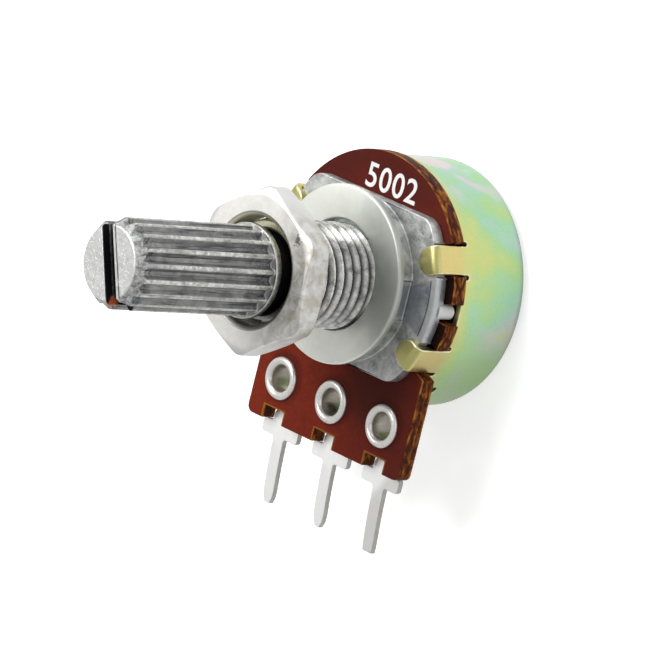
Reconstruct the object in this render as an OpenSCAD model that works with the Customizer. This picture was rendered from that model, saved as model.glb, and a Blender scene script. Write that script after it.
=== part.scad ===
// Rotary potentiometer, 16 mm class, with a splined and slotted 6 mm shaft.
// The control stands on the closed back of its metal cover. +Z runs along the shaft to its tip,
// -Y points to the three terminals. All lengths are in millimetres, all angles in degrees.

/* [Cover] */
// Outer diameter of the drawn cover
cover_d = 16.4; // [15:0.1:18]
// Depth of the cover from its closed back to its rim
cover_h = 6; // [5.6:0.05:8]
// Sheet thickness of the cover and of its folded tabs
cover_t = 0.45; // [0.3:0.05:0.5]
// Radius of the rounded edge between the cover's wall and its back
cover_edge_r = 0.9; // [0.6:0.1:1.4]
// Width of each folded tab
tab_w = 1.9; // [1.2:0.1:2.4]
// Angle of each tab away from the X axis
tab_angle = 25; // [22:1:30]
// Length of each tab's fold over the plate, from the cover's wall inwards
tab_reach = 1.7; // [1.2:0.1:1.9]
// Inside radius of each tab's bend
tab_bend_r = 0.12; // [0.05:0.01:0.3]
// Width of the relief slot beside each tab
relief_w = 0.3; // [0.2:0.05:0.4]
// Depth of the relief slot below the rim
relief_h = 0.6; // [0.2:0.05:0.8]
// Width of the cover's opening on the terminal side
cutout_w = 12; // [11:0.1:12.6]
// Height of that opening below the rim
cutout_h = 2.1; // [1.4:0.05:2.4]
// Height of the pressed-in rotation stop above the cover's inner floor
stop_h = 1.15; // [0.9:0.05:1.3]
// Angle that the pressed-in stop covers
stop_angle = 23; // [16:1:24]

/* [Plate and bushing] */
// How far the plate's round edge stays inside the line of the cover's inner wall
plate_inset = 0; // [0:0.05:0.3]
// Distance between the plate's two straight edges
plate_w = 11.1; // [10.4:0.1:12]
// Thickness of the plate
plate_t = 0.9; // [0.8:0.05:1.4]
// Radius of the plate's rounded corners
plate_corner_r = 1.4; // [0.8:0.1:1.8]
// Diameter of the round boss that the panel or washer seats on
boss_d = 11; // [10:0.1:12]
// Height of the boss above the plate
boss_h = 1.15; // [0.9:0.05:1.5]
// Half width across the boss where its two sides are cut flat
boss_flat = 4.9; // [4.6:0.1:5.2]
// Width of each flat cut in the boss
boss_flat_w = 2.6; // [1.5:0.1:3.5]
// Outer diameter of the bushing's thread
bushing_d = 7; // [6.6:0.05:7.2]
// Length of the bushing above the boss
bushing_l = 7; // [6.4:0.1:8]
// Size of the chamfer at the bushing's end
bushing_chamfer = 0.15; // [0.1:0.05:0.4]
// Diameter of the bore that the shaft runs in
bore_d = 5; // [4.8:0.05:5.2]
// Depth of the conical mouth of the bore
bore_mouth = 0.4; // [0.2:0.05:0.6]
// Diameter of the two locating pegs behind the plate
peg_d = 1; // [0.8:0.05:1.2]
// Length of the locating pegs
peg_l = 1; // [0.7:0.05:1.05]
// Distance of each peg's axis from the shaft's axis
peg_x = 7.45; // [7.2:0.05:7.6]

/* [Shaft] */
// Length of the shaft from the boss's seat to its tip
shaft_l = 20.3; // [15:0.1:30]
// Outer diameter over the splines
spline_d = 5.96; // [5.8:0.02:6]
// Number of splines
spline_n = 18; // [12:1:24]
// Depth of the grooves between the splines
spline_depth = 0.36; // [0.2:0.02:0.5]
// Share of each pitch that the groove takes at the surface
spline_gap = 0.7; // [0.4:0.05:0.7]
// Share of the groove's width that its floor takes
spline_floor = 0.4; // [0.2:0.05:0.6]
// Distance from the boss's seat to the start of the splined end
spline_start = 8.2; // [8.1:0.1:10]
// Length of the plain collar at the foot of the splines
collar_l = 0.35; // [0.2:0.05:0.6]
// Radial size of the chamfer at the tip
tip_chamfer = 0.58; // [0.3:0.02:0.7]
// Axial length of the chamfer at the tip
tip_chamfer_l = 0.75; // [0.4:0.05:1]
// Width of the driver slot across the tip
slot_w = 1; // [0.8:0.05:1.2]
// Depth of the driver slot
slot_h = 1.6; // [1:0.1:3]
// Angle of the splines against the slot
spline_shift = 10; // [-10:0.5:10]
// Depth of the groove that holds the retaining clip
groove_depth = 0.5; // [0.4:0.05:0.6]
// Diameter of the rotor's seat at the inner end
key_d = 4.4; // [4:0.1:4.6]
// Distance across the two flats of the rotor's seat
key_flats = 3.5; // [3:0.1:3.8]
// Diameter of the staked head behind the rotor
stake_d = 5.2; // [4.8:0.1:5.6]
// Thickness of the staked head
stake_h = 0.4; // [0.3:0.05:0.6]

/* [Nut and washer] */
// Distance across the nut's flats
nut_af = 10; // [9.6:0.1:11]
// Thickness of the nut
nut_t = 2; // [1.8:0.1:2.2]
// Distance from the boss's seat to the nut's near face, as the nut stands on the thread
nut_gap = 6; // [4.6:0.1:6]
// Angle of the nut on the thread
nut_turn = 3; // [-30:1:30]
// How far the nut's flat faces stay inside its six sides
nut_bevel = 0.3; // [0.05:0.05:0.35]
// Slope of the nut's bevel
nut_bevel_angle = 30; // [15:5:30]
// Depth of the countersink at each end of the nut's hole
nut_sink = 0.25; // [0.1:0.05:0.4]
// Outer diameter of the flat washer
washer_d = 11.8; // [11.2:0.1:13]
// Thickness of the flat washer
washer_t = 0.5; // [0.3:0.05:0.8]

/* [Element board] */
// How far the board's round end stands out past the cover's wall
board_lip = 0.2; // [0.1:0.05:0.8]
// Thickness of the board
board_t = 1.15; // [1.1:0.05:1.6]
// Width of the board's tongue, which carries the terminals
tongue_w = 15; // [14:0.1:16]
// Distance from the shaft's axis to the tongue's lower edge
tongue_y = 11.6; // [11.2:0.05:12.4]
// Radius of the tongue's lower corners
tongue_corner_r = 0.5; // [0.2:0.1:1]
// Diameter of the board's centre hole
board_hole_d = 5.8; // [5.4:0.1:6.4]
// Width of the notch above each terminal's shoulder
foot_notch_w = 1.9; // [1.75:0.05:2.2]
// Height of the notch above each terminal's shoulder
foot_notch_h = 0.9; // [0.8:0.05:1]
// Thickness of the printed carbon and silver layers
ink_t = 0.05; // [0.03:0.01:0.08]
// Distance between the cover's wall and the outer edge of the resistive track
track_inset = 1; // [0.9:0.05:1.1]
// Width of the resistive track
track_w = 1.6; // [1.3:0.05:1.8]
// Share of the space between the board's hole and the track that stays bare inside the collector ring
collector_start = 0.3; // [0.2:0.02:0.4]
// Share of that space that the collector ring takes
collector_share = 0.45; // [0.3:0.02:0.5]
// Angle that the silver pad at each end of the track covers
end_angle = 10; // [6:1:14]
// Width of the silver lead from each end of the track
end_lead_w = 0.7; // [0.4:0.05:0.9]
// Width of the silver lead from the collector ring
collector_lead_w = 1.2; // [0.6:0.05:1.6]

/* [Terminals] */
// Distance between neighbouring terminals
pitch = 5; // [4.8:0.1:5.1]
// Distance from the shaft's axis to the row of eyelets
eyelet_y = 8.6; // [8.5:0.05:9]
// Diameter of an eyelet's flange
eyelet_d = 2.9; // [2.6:0.05:3.1]
// Diameter of the hole through an eyelet
eyelet_hole_d = 1.7; // [1.4:0.05:1.75]
// Wall of an eyelet's tube
eyelet_t = 0.22; // [0.15:0.01:0.25]
// Height of an eyelet's rolled flange
eyelet_flange_h = 0.28; // [0.2:0.02:0.4]
// Sheet thickness of the terminals
terminal_t = 0.45; // [0.3:0.05:0.5]
// Diameter of each terminal's ring behind the board
ring_d = 3.1; // [2.9:0.05:3.3]
// Width of each terminal's strip behind the board
strip_w = 1.7; // [1.4:0.05:1.72]
// How far the strip steps forward through the notch
strip_step = 0.2; // [0.1:0.05:0.6]
// Width of each terminal's shoulder
shoulder_w = 3.5; // [2.4:0.1:4]
// Height of each terminal's shoulder
shoulder_h = 1; // [0.7:0.05:1.3]
// Width of each solder pin
pin_w = 1; // [0.8:0.05:1.2]
// Distance from the shaft's axis to the tips of the pins
pin_y = 17.25; // [14:0.05:20]
// How far the pins lean back at their tips
pin_lean = 0.5; // [0:0.05:1]
// Length of the taper at each pin's tip
pin_taper = 0.9; // [0.4:0.1:1.4]
// Width of each pin's tip
pin_tip_w = 0.4; // [0.2:0.05:0.6]

/* [Rotor and wiper] */
// Gap between the rotor's disc and the cover's wall
rotor_gap = 0.85; // [0.65:0.05:1.05]
// Thickness of the rotor's disc
rotor_t = 1.6; // [1.2:0.05:1.8]
// Diameter of the rotor's hub
hub_d = 6; // [5.7:0.1:6.4]
// Gap between the staked head of the shaft and the cover's inner floor
stake_gap = 0.9; // [0.6:0.05:1]
// Height of the hub in front of the rotor's disc
hub_front_h = 0.5; // [0.3:0.05:0.7]
// Distance between the rotor's disc and the tracks that the wiper rubs on
wiper_space = 1.3; // [1.1:0.05:1.5]
// Angle that the rotor's stop lug covers
lug_angle = 36; // [30:1:36]
// Full angle of rotation between the two stops
travel = 300; // [280:1:300]
// Angle of the shaft from the middle of its travel
rest_turn = 24; // [-100:1:100]
// Sheet thickness of the wiper spring
wiper_t = 0.18; // [0.12:0.01:0.22]
// Width of each wiper finger
finger_w = 0.36; // [0.28:0.02:0.4]
// Length of each wiper finger
finger_l = 2.8; // [2.4:0.1:3]
// Radius of the round contact at each finger's end
bump_r = 0.2; // [0.16:0.02:0.26]
// Diameter of the two posts that hold the wiper
post_d = 0.8; // [0.6:0.05:0.9]
// Outer diameter of the retaining clip
clip_d = 7.2; // [6.6:0.1:7.6]
// Thickness of the retaining clip
clip_t = 0.45; // [0.3:0.05:0.5]
// Angle of the retaining clip's open side
clip_open = 80; // [60:5:110]

/* [Hidden] */
$fn = 96;

// Clearances
run_gap = 0.05;     // radial gap of the shaft in its bushing
thread_gap = 0.05;  // radial gap of the nut on the thread
washer_gap = 0.15;  // radial gap of the washer on the thread
key_gap = 0.02;     // gap of the rotor on the shaft's flats
post_gap = 0.02;    // radial gap of the wiper on its posts
hub_gap = 0.1;      // radial gap of the wiper round the hub
rivet_gap = 0.02;   // radial gap of an eyelet in its holes
notch_gap = 0.15;   // gap between a tab and the sides of its notch
notch_floor = 0.2;  // gap between a tab and the floor of its notch
peg_gap = 0.2;      // gap between a peg and its notch
clip_gap = 0.03;    // gap of the clip in its groove
pocket_gap = 0.5;   // gap of the clip in the plate's pocket
clip_lift = 0.25;   // gap between the clip and the board
bar_gap = 0.1;      // gap between the board's edge and a terminal's shoulder
wipe_gap = 0.03;    // gap between a finger's bump and its track
lug_gap = 0.1;      // how far the stop lug stays inside the rotor's edge
tab_inset = 0.03;   // how far a tab's flat sheet stays inside the cover's round wall
eps = 0.01;         // overlap of shapes that are joined in one piece
over = 1;           // how far a cutting shape runs past the piece that it cuts

// Heights of the stacked pieces
board_back = cover_h;
board_front = board_back + board_t;
plate_front = board_front + plate_t;
seat = plate_front + boss_h;
bushing_end = seat + bushing_l;
tip = seat + shaft_l;
spline_z = seat + spline_start;
ink_back = board_back - ink_t;
terminal_back = ink_back - terminal_t;
rotor_top = ink_back - wiper_space;
rotor_z = rotor_top - rotor_t;
hub_z = cover_t + stake_gap + stake_h;
hub_top = rotor_top + hub_front_h;
lug_z = cover_t + stop_h / 2 - lug_gap;
clip_z = board_front + clip_lift;
pocket_h = clip_t + pocket_gap;

// Radii that several pieces share
cover_r = cover_d / 2;
wall_in = cover_r - cover_t;
notch_r = wall_in - notch_floor;
journal_r = bore_d / 2 - run_gap;
groove_r = journal_r - groove_depth;
pocket_r = clip_d / 2 + pocket_gap;
plate_r = wall_in - plate_inset;
rotor_r = wall_in - rotor_gap;
board_r = cover_r + board_lip;
board_hole_r = board_hole_d / 2;
track_r = wall_in - track_inset - track_w;
track_mid = track_r + track_w / 2;
ring_space = track_r - board_hole_r;
collector_r = board_hole_r + ring_space * collector_start;
collector_w = ring_space * collector_share;
collector_mid = collector_r + collector_w / 2;
tube_r = eyelet_hole_d / 2 + eyelet_t;
rivet_hole_r = tube_r + rivet_gap;
stop_r = track_r + 2 * lug_gap;
stop_wall = 0.3;
spline_rim = 0.2;

// Layout of the track's open side and of the wiper
track_gap = 360 - travel;
track_start = -90 + track_gap / 2;
arm_x = -4.3;
arm_w = 1.2;
arm_low = -2.4;
carrier_low = 3.3;
finger_x = -1.65;
finger_step = 0.3;
post_places = [[-3.55, -1.6], [-3.55, 1.4]];

function polar(r, a) = [r * cos(a), r * sin(a)];

// Flat sector between two radii, from one angle to another
module sector(r_in, r_out, a_from, a_to) {
    steps = max(2, ceil((a_to - a_from) / 60));
    reach = 2 * r_out;
    difference() {
        intersection() {
            circle(r = r_out);
            polygon(concat([[0, 0]],
                [for (i = [0 : steps]) polar(reach, a_from + (a_to - a_from) * i / steps)]));
        }
        circle(r = r_in);
    }
}

// Places its children at the four tab angles
module at_tabs() {
    for (a = [tab_angle, 180 - tab_angle, 180 + tab_angle, 360 - tab_angle])
        rotate(a) children();
}

// Outline of the notch that lets one tab pass
module tab_notch() {
    translate([notch_r, -tab_w / 2 - notch_gap])
        square([cover_r, tab_w + 2 * notch_gap]);
}

// Section of one tab in radius and height: straight leg, bend and folded leg
module tab_section() {
    sheet = cover_t - tab_inset;
    bend_x = wall_in - tab_bend_r;
    bend_z = plate_front - tab_bend_r;
    translate([wall_in, cover_h - eps])
        square([sheet, bend_z - cover_h + 2 * eps]);
    intersection() {
        translate([bend_x, bend_z])
            difference() {
                circle(r = tab_bend_r + sheet);
                circle(r = tab_bend_r);
            }
        translate([bend_x - eps, bend_z])
            square(tab_bend_r + cover_t + eps);
    }
    translate([cover_r - tab_reach, plate_front])
        square([bend_x - cover_r + tab_reach, sheet]);
}

// One folded tab with a round tip
module tab() {
    tip_x = cover_r - tab_reach + tab_w / 2;
    intersection() {
        translate([0, tab_w / 2, 0])
            rotate([90, 0, 0])
                linear_extrude(tab_w) tab_section();
        linear_extrude(seat) union() {
            translate([tip_x, 0]) circle(d = tab_w);
            translate([tip_x, -tab_w / 2]) square([cover_r, tab_w]);
        }
    }
}

// Cup of the cover as a revolved section
module cup() {
    edge_x = cover_r - cover_edge_r;
    rotate_extrude()
        difference() {
            union() {
                square([edge_x, cover_h]);
                translate([0, cover_edge_r]) square([cover_r, cover_h - cover_edge_r]);
                translate([edge_x, cover_edge_r]) circle(r = cover_edge_r);
            }
            translate([-over, -over]) square([over, cover_h]);
            translate([0, cover_t]) square([edge_x, cover_h]);
            translate([0, cover_edge_r]) square([wall_in, cover_h]);
            intersection() {
                translate([edge_x, cover_edge_r]) circle(r = cover_edge_r - cover_t);
                translate([0, cover_t]) square([cover_r, cover_h]);
            }
        }
}

// Relief slots on both sides of one tab, each with a round end
module tab_relief() {
    cut_l = 3 * cover_t;
    for (side = [-1, 1])
        translate([wall_in - cover_t, side * (tab_w + relief_w) / 2, cover_h - relief_h])
            rotate([0, 90, 0]) {
                cylinder(d = relief_w, h = cut_l);
                translate([-cover_h, -relief_w / 2, 0])
                    cube([cover_h, relief_w, cut_l]);
            }
}

// Rotation stop, pressed in from behind, in plan
module stop_outline(wall) {
    wall_angle = atan(wall / stop_r);
    sector(stop_r + wall, rotor_r - wall,
        -90 - stop_angle / 2 + wall_angle, -90 + stop_angle / 2 - wall_angle);
}

module rear_cover() color([0.80, 0.81, 0.55])
    difference() {
        union() {
            cup();
            at_tabs() tab();
            translate([0, 0, cover_t - eps])
                linear_extrude(stop_h + eps) stop_outline(0);
        }
        at_tabs() tab_relief();
        translate([-cutout_w / 2, -cover_d, cover_h - cutout_h])
            cube([cutout_w, cover_d * 3 / 4, cutout_h + over]);
        translate([0, 0, -over])
            linear_extrude(over + stop_h) stop_outline(stop_wall);
    }

// Plate outline: a disc with two straight edges, rounded corners and tab notches
module plate_outline() {
    half = plate_w / 2;
    corner_reach = plate_r - plate_corner_r;
    corner_y = half - plate_corner_r;
    corner_x = sqrt(corner_reach * corner_reach - corner_y * corner_y);
    difference() {
        union() {
            intersection() {
                circle(r = plate_r);
                square([2 * plate_r, 2 * corner_y], center = true);
            }
            square([2 * corner_x, plate_w], center = true);
            for (x = [-corner_x, corner_x], y = [-corner_y, corner_y])
                translate([x, y]) circle(r = plate_corner_r);
        }
        at_tabs() tab_notch();
    }
}

module bushing_plate() color([0.62, 0.64, 0.66])
    difference() {
        union() {
            translate([0, 0, board_front])
                linear_extrude(plate_t) plate_outline();
            difference() {
                translate([0, 0, plate_front - eps])
                    cylinder(d = boss_d, h = boss_h + eps);
                for (side = [0, 180])
                    rotate(side)
                        translate([boss_flat, -boss_flat_w / 2, plate_front])
                            cube([boss_d, boss_flat_w, boss_h + over]);
            }
            translate([0, 0, seat - eps])
                cylinder(d = bushing_d, h = bushing_l - bushing_chamfer + eps);
            translate([0, 0, bushing_end - bushing_chamfer])
                cylinder(d1 = bushing_d, d2 = bushing_d - 2 * bushing_chamfer,
                    h = bushing_chamfer);
            for (x = [-peg_x, peg_x])
                translate([x, 0, board_front - peg_l])
                    cylinder(d = peg_d, h = peg_l + plate_t / 2);
        }
        translate([0, 0, board_front - over])
            cylinder(d = bore_d, h = bushing_end - board_front + 2 * over);
        translate([0, 0, bushing_end - bore_mouth])
            cylinder(d1 = bore_d, d2 = bore_d + 2 * bore_mouth, h = bore_mouth + eps);
        translate([0, 0, board_front - over])
            cylinder(r = pocket_r, h = over + pocket_h);
    }

// Section of the splined end: full circle less one groove for each spline
module spline_section() {
    r = spline_d / 2;
    half_top = 180 / spline_n * spline_gap;
    half_floor = half_top * spline_floor;
    floor_r = r - spline_depth;
    rim_r = r + spline_rim;
    difference() {
        circle(r = r);
        for (i = [0 : spline_n - 1])
            rotate(spline_shift + (i + 1 / 2) * 360 / spline_n)
                polygon([polar(floor_r, -half_floor), polar(rim_r, -half_top),
                    polar(rim_r, half_top), polar(floor_r, half_floor)]);
    }
}

// Plain length of the shaft, with the groove for the clip
module journal() {
    difference() {
        translate([0, 0, hub_top])
            cylinder(r = journal_r, h = spline_z - hub_top + eps);
        translate([0, 0, clip_z - clip_gap])
            difference() {
                cylinder(r = journal_r + over, h = clip_t + 2 * clip_gap);
                cylinder(r = groove_r, h = clip_t + 2 * clip_gap);
            }
    }
}

// Splined end of the shaft, with its plain collar and the chamfer at its tip
module splined_end() {
    r = spline_d / 2;
    translate([0, 0, spline_z]) cylinder(r = r, h = collar_l);
    intersection() {
        translate([0, 0, spline_z + collar_l - eps])
            linear_extrude(tip - spline_z - collar_l + eps) spline_section();
        union() {
            translate([0, 0, spline_z])
                cylinder(r = r + over, h = tip - tip_chamfer_l - spline_z);
            translate([0, 0, tip - tip_chamfer_l])
                cylinder(r1 = r, r2 = r - tip_chamfer, h = tip_chamfer_l);
        }
    }
}

// Round bar with two flats, which carries the rotor
module rotor_seat(gap, low, high) {
    translate([0, 0, low])
        intersection() {
            cylinder(d = key_d + 2 * gap, h = high - low);
            translate([-key_flats / 2 - gap, -key_d, 0])
                cube([key_flats + 2 * gap, 2 * key_d, high - low]);
        }
}

module shaft() color([0.66, 0.67, 0.67])
    rotate(rest_turn)
        difference() {
            union() {
                journal();
                rotor_seat(0, hub_z - eps, hub_top + eps);
                translate([0, 0, hub_z - stake_h])
                    cylinder(d1 = stake_d - stake_h, d2 = stake_d, h = stake_h);
                splined_end();
            }
            translate([-slot_w / 2, -spline_d, tip - slot_h])
                cube([slot_w, 2 * spline_d, slot_h + over]);
        }

module hex_nut() color([0.86, 0.86, 0.84]) {
    hole = bushing_d + 2 * thread_gap;
    corner_r = nut_af / 2 / cos(30);
    face_r = nut_af / 2 - nut_bevel;
    past_r = corner_r + thread_gap;
    bevel_h = (past_r - face_r) * tan(nut_bevel_angle);
    translate([0, 0, seat + nut_gap])
        difference() {
            intersection() {
                rotate(nut_turn + 30) cylinder(r = corner_r, h = nut_t, $fn = 6);
                rotate_extrude()
                    polygon([[0, 0], [face_r, 0], [past_r, bevel_h],
                        [past_r, nut_t - bevel_h], [face_r, nut_t], [0, nut_t]]);
            }
            translate([0, 0, -over]) cylinder(d = hole, h = nut_t + 2 * over);
            translate([0, 0, -eps])
                cylinder(d1 = hole + 2 * nut_sink, d2 = hole, h = nut_sink);
            translate([0, 0, nut_t - nut_sink + eps])
                cylinder(d1 = hole, d2 = hole + 2 * nut_sink, h = nut_sink);
        }
}

module flat_washer() color([0.84, 0.86, 0.82])
    translate([0, 0, seat])
        difference() {
            cylinder(d = washer_d, h = washer_t);
            translate([0, 0, -over])
                cylinder(d = bushing_d + 2 * washer_gap, h = washer_t + 2 * over);
        }

// Places its children at one terminal: -1 left, 0 middle, 1 right
module at_terminal(place) {
    translate([place * pitch, -eyelet_y, 0]) children();
}

// Board outline: a disc with a tongue, notches and holes
module board_outline() {
    corner_x = tongue_w / 2 - tongue_corner_r;
    corner_y = tongue_y - tongue_corner_r;
    peg_notch_r = peg_d / 2 + peg_gap;
    difference() {
        union() {
            circle(r = board_r);
            translate([-tongue_w / 2, -corner_y]) square([tongue_w, corner_y]);
            translate([-corner_x, -tongue_y]) square([2 * corner_x, tongue_y]);
            for (x = [-corner_x, corner_x])
                translate([x, -corner_y]) circle(r = tongue_corner_r);
        }
        at_tabs() tab_notch();
        for (side = [0, 180])
            rotate(side)
                translate([peg_x - peg_notch_r, -peg_notch_r])
                    square([board_r, 2 * peg_notch_r]);
        circle(r = board_hole_r);
        for (place = [-1, 0, 1]) {
            at_terminal(place) circle(r = rivet_hole_r);
            translate([place * pitch - foot_notch_w / 2, -tongue_y - over])
                square([foot_notch_w, foot_notch_h + over]);
        }
    }
}

module element_board() color([0.36, 0.13, 0.09])
    translate([0, 0, board_back])
        linear_extrude(board_t) board_outline();

module resistive_track() color([0.10, 0.10, 0.11])
    translate([0, 0, ink_back])
        linear_extrude(ink_t)
            sector(track_r, track_r + track_w, track_start, 180 - track_start);

// Silver pad at one end of the track, its lead and the ring under its terminal
module end_contact(side) {
    from = polar(track_mid, track_start - end_angle / 2);
    to = [pitch, -eyelet_y];
    run = to - from;
    mirror([side < 0 ? 1 : 0, 0, 0])
        translate([0, 0, ink_back])
            linear_extrude(ink_t)
                difference() {
                    union() {
                        sector(track_r, track_r + track_w, track_start - end_angle, track_start);
                        translate(from)
                            rotate(atan2(run[1], run[0]))
                                translate([0, -end_lead_w / 2]) square([norm(run), end_lead_w]);
                        translate(to) circle(d = ring_d - bar_gap);
                    }
                    translate(to) circle(r = rivet_hole_r);
                }
}

module end_contact_left() color([0.75, 0.75, 0.74]) end_contact(-1);

module end_contact_right() color([0.75, 0.75, 0.74]) end_contact(1);

module collector_track() color([0.75, 0.75, 0.74])
    translate([0, 0, ink_back])
        linear_extrude(ink_t)
            difference() {
                union() {
                    circle(r = collector_r + collector_w);
                    translate([-collector_lead_w / 2, -eyelet_y])
                        square([collector_lead_w, eyelet_y - collector_r]);
                    at_terminal(0) circle(d = ring_d - bar_gap);
                }
                circle(r = collector_r);
                at_terminal(0) circle(r = rivet_hole_r);
            }

// Side view of a terminal in Y and Z: strip, step through the notch, shoulder and leaning pin
module terminal_side() {
    y_top = ring_d - eyelet_y;
    y_step = foot_notch_h - bar_gap - tongue_y;
    y_pin = -tongue_y - bar_gap - shoulder_h;
    lean = pin_lean * (over + y_pin + pin_y) / (y_pin + pin_y);
    line = [[y_top, 0], [y_step, 0], [y_step - 2 * strip_step, strip_step],
        [y_pin, strip_step], [-pin_y - over, strip_step - lean]];
    back = [for (p = line) [p[0], terminal_back + p[1]]];
    front = [for (i = [len(line) - 1 : -1 : 0]) [line[i][0], ink_back + line[i][1]]];
    polygon(concat(back, front));
}

// Front view of a terminal, with the eyelet's centre at the origin
module terminal_front() {
    bar_top = eyelet_y - tongue_y - bar_gap;
    bar_low = bar_top - shoulder_h;
    tip_y = eyelet_y - pin_y;
    difference() {
        union() {
            circle(d = ring_d);
            translate([-strip_w / 2, bar_low]) square([strip_w, -bar_low]);
            translate([-shoulder_w / 2, bar_low]) square([shoulder_w, shoulder_h]);
            polygon([[-pin_w / 2, bar_low + eps], [-pin_w / 2, tip_y + pin_taper],
                [-pin_tip_w / 2, tip_y], [pin_tip_w / 2, tip_y],
                [pin_w / 2, tip_y + pin_taper], [pin_w / 2, bar_low + eps]]);
        }
        circle(r = rivet_hole_r);
    }
}

module terminal(place) {
    intersection() {
        translate([place * pitch - shoulder_w, 0, 0])
            rotate([90, 0, 90])
                linear_extrude(2 * shoulder_w) terminal_side();
        at_terminal(place)
            linear_extrude(seat) terminal_front();
    }
}

module terminal_left() color([0.88, 0.89, 0.86]) terminal(-1);

module terminal_middle() color([0.88, 0.89, 0.86]) terminal(0);

module terminal_right() color([0.88, 0.89, 0.86]) terminal(1);

// Rolled rivet through board, silver layer and terminal
module eyelet(place) {
    bead = eyelet_flange_h;
    hole_r = eyelet_hole_d / 2;
    flange_r = eyelet_d / 2;
    at_terminal(place)
        rotate_extrude() {
            translate([hole_r, terminal_back - bead / 2])
                square([eyelet_t, board_front - terminal_back + bead]);
            for (z = [board_front, terminal_back - bead]) {
                translate([hole_r + bead / 2, z]) square([flange_r - hole_r - bead, bead]);
                translate([hole_r + bead / 2, z + bead / 2]) circle(d = bead);
                translate([flange_r - bead / 2, z + bead / 2]) circle(d = bead);
            }
        }
}

module eyelet_left() color([0.82, 0.81, 0.77]) eyelet(-1);

module eyelet_middle() color([0.82, 0.81, 0.77]) eyelet(0);

module eyelet_right() color([0.82, 0.81, 0.77]) eyelet(1);

module rotor() color([0.30, 0.20, 0.14])
    rotate(rest_turn)
        difference() {
            union() {
                translate([0, 0, rotor_z]) cylinder(r = rotor_r, h = rotor_t);
                translate([0, 0, hub_z]) cylinder(d = hub_d, h = hub_top - hub_z);
                translate([0, 0, lug_z])
                    linear_extrude(rotor_z - lug_z + eps)
                        sector(track_r + lug_gap, rotor_r - lug_gap,
                            90 - lug_angle / 2, 90 + lug_angle / 2);
                for (p = post_places)
                    translate([p[0], p[1], rotor_top - eps])
                        cylinder(d = post_d, h = 2 * wiper_t + eps);
            }
            rotor_seat(key_gap, hub_z - over, hub_top + over);
        }

// Carrier of the wiper in plan, with holes for the two posts
module carrier_outline() {
    difference() {
        intersection() {
            circle(r = rotor_r - 2 * lug_gap);
            union() {
                translate([arm_x, arm_low]) square([arm_w, rotor_r - arm_low]);
                translate([arm_x, carrier_low]) square([finger_x - arm_x + eps, rotor_r]);
            }
        }
        circle(r = hub_d / 2 + hub_gap);
        for (p = post_places)
            translate(p) circle(r = post_d / 2 + post_gap);
    }
}

// One rising finger with its round contact, from the carrier's edge at the origin
module finger(slope) {
    sink = bump_r * 2 / 5;
    rotate([0, -slope, 0]) {
        translate([0, -finger_w / 2, 0]) cube([finger_l, finger_w, wiper_t]);
        translate([finger_l - bump_r, 0, wiper_t - sink]) sphere(r = bump_r);
    }
}

// Stamped wiper: a carrier on the rotor and three rising fingers
module wiper() color([0.80, 0.66, 0.36])
    rotate(rest_turn)
        translate([0, 0, rotor_top]) {
            rise = ink_back - wipe_gap - rotor_top - wiper_t - bump_r * 3 / 5;
            slope = asin(rise / finger_l);
            linear_extrude(wiper_t) carrier_outline();
            for (y = [collector_mid, track_mid - finger_step, track_mid + finger_step])
                translate([finger_x, y, 0]) finger(slope);
        }

module retaining_clip() color([0.45, 0.45, 0.46])
    rotate(rest_turn)
        translate([0, 0, clip_z])
            linear_extrude(clip_t)
                sector(groove_r + clip_gap, clip_d / 2, clip_open / 2 - 90, 270 - clip_open / 2);

bushing_plate();
shaft();
hex_nut();
flat_washer();
rear_cover();
element_board();
resistive_track();
end_contact_left();
end_contact_right();
collector_track();
terminal_left();
terminal_middle();
terminal_right();
eyelet_left();
eyelet_middle();
eyelet_right();
rotor();
wiper();
retaining_clip();
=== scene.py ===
"""A 16 mm rotary potentiometer: modelled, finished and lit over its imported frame."""

import logging
import math
from dataclasses import dataclass
from enum import Enum
from typing import Callable, Iterable, Sequence, Union

import bmesh
import bpy
from mathutils import Matrix, Vector


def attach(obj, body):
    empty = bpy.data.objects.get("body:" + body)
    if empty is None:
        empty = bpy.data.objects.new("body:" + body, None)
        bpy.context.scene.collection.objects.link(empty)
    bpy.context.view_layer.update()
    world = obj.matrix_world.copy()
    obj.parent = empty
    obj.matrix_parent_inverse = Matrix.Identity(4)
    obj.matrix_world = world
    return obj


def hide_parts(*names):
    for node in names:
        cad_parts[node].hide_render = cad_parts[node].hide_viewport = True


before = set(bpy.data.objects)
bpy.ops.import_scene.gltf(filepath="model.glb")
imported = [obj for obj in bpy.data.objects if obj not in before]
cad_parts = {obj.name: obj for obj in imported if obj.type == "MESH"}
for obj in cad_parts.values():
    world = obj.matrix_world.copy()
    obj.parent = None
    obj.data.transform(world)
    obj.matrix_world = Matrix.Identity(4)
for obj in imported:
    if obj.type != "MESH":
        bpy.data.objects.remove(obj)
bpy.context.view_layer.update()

MM = 0.001
Pair = tuple[float, float]
Triple = tuple[float, float, float]
Colour = Triple
Number = Union["Signal", float]
Piece = bpy.types.Object
log = logging.getLogger("potentiometer")


class Body(Enum):
    """Bodies of the frame that pieces ride on."""

    HOUSING = "housing"
    SPINDLE = "spindle"
    NUT = "nut"


class Part(Enum):
    """Kinds of mesh element that can be picked."""

    VERTEX = "VERT"
    EDGE = "EDGE"
    FACE = "FACE"


class Close(Enum):
    """What joins the ends of a drawn line."""

    OPEN = "open"
    LOOP = "loop"
    FACE = "face"


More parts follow.
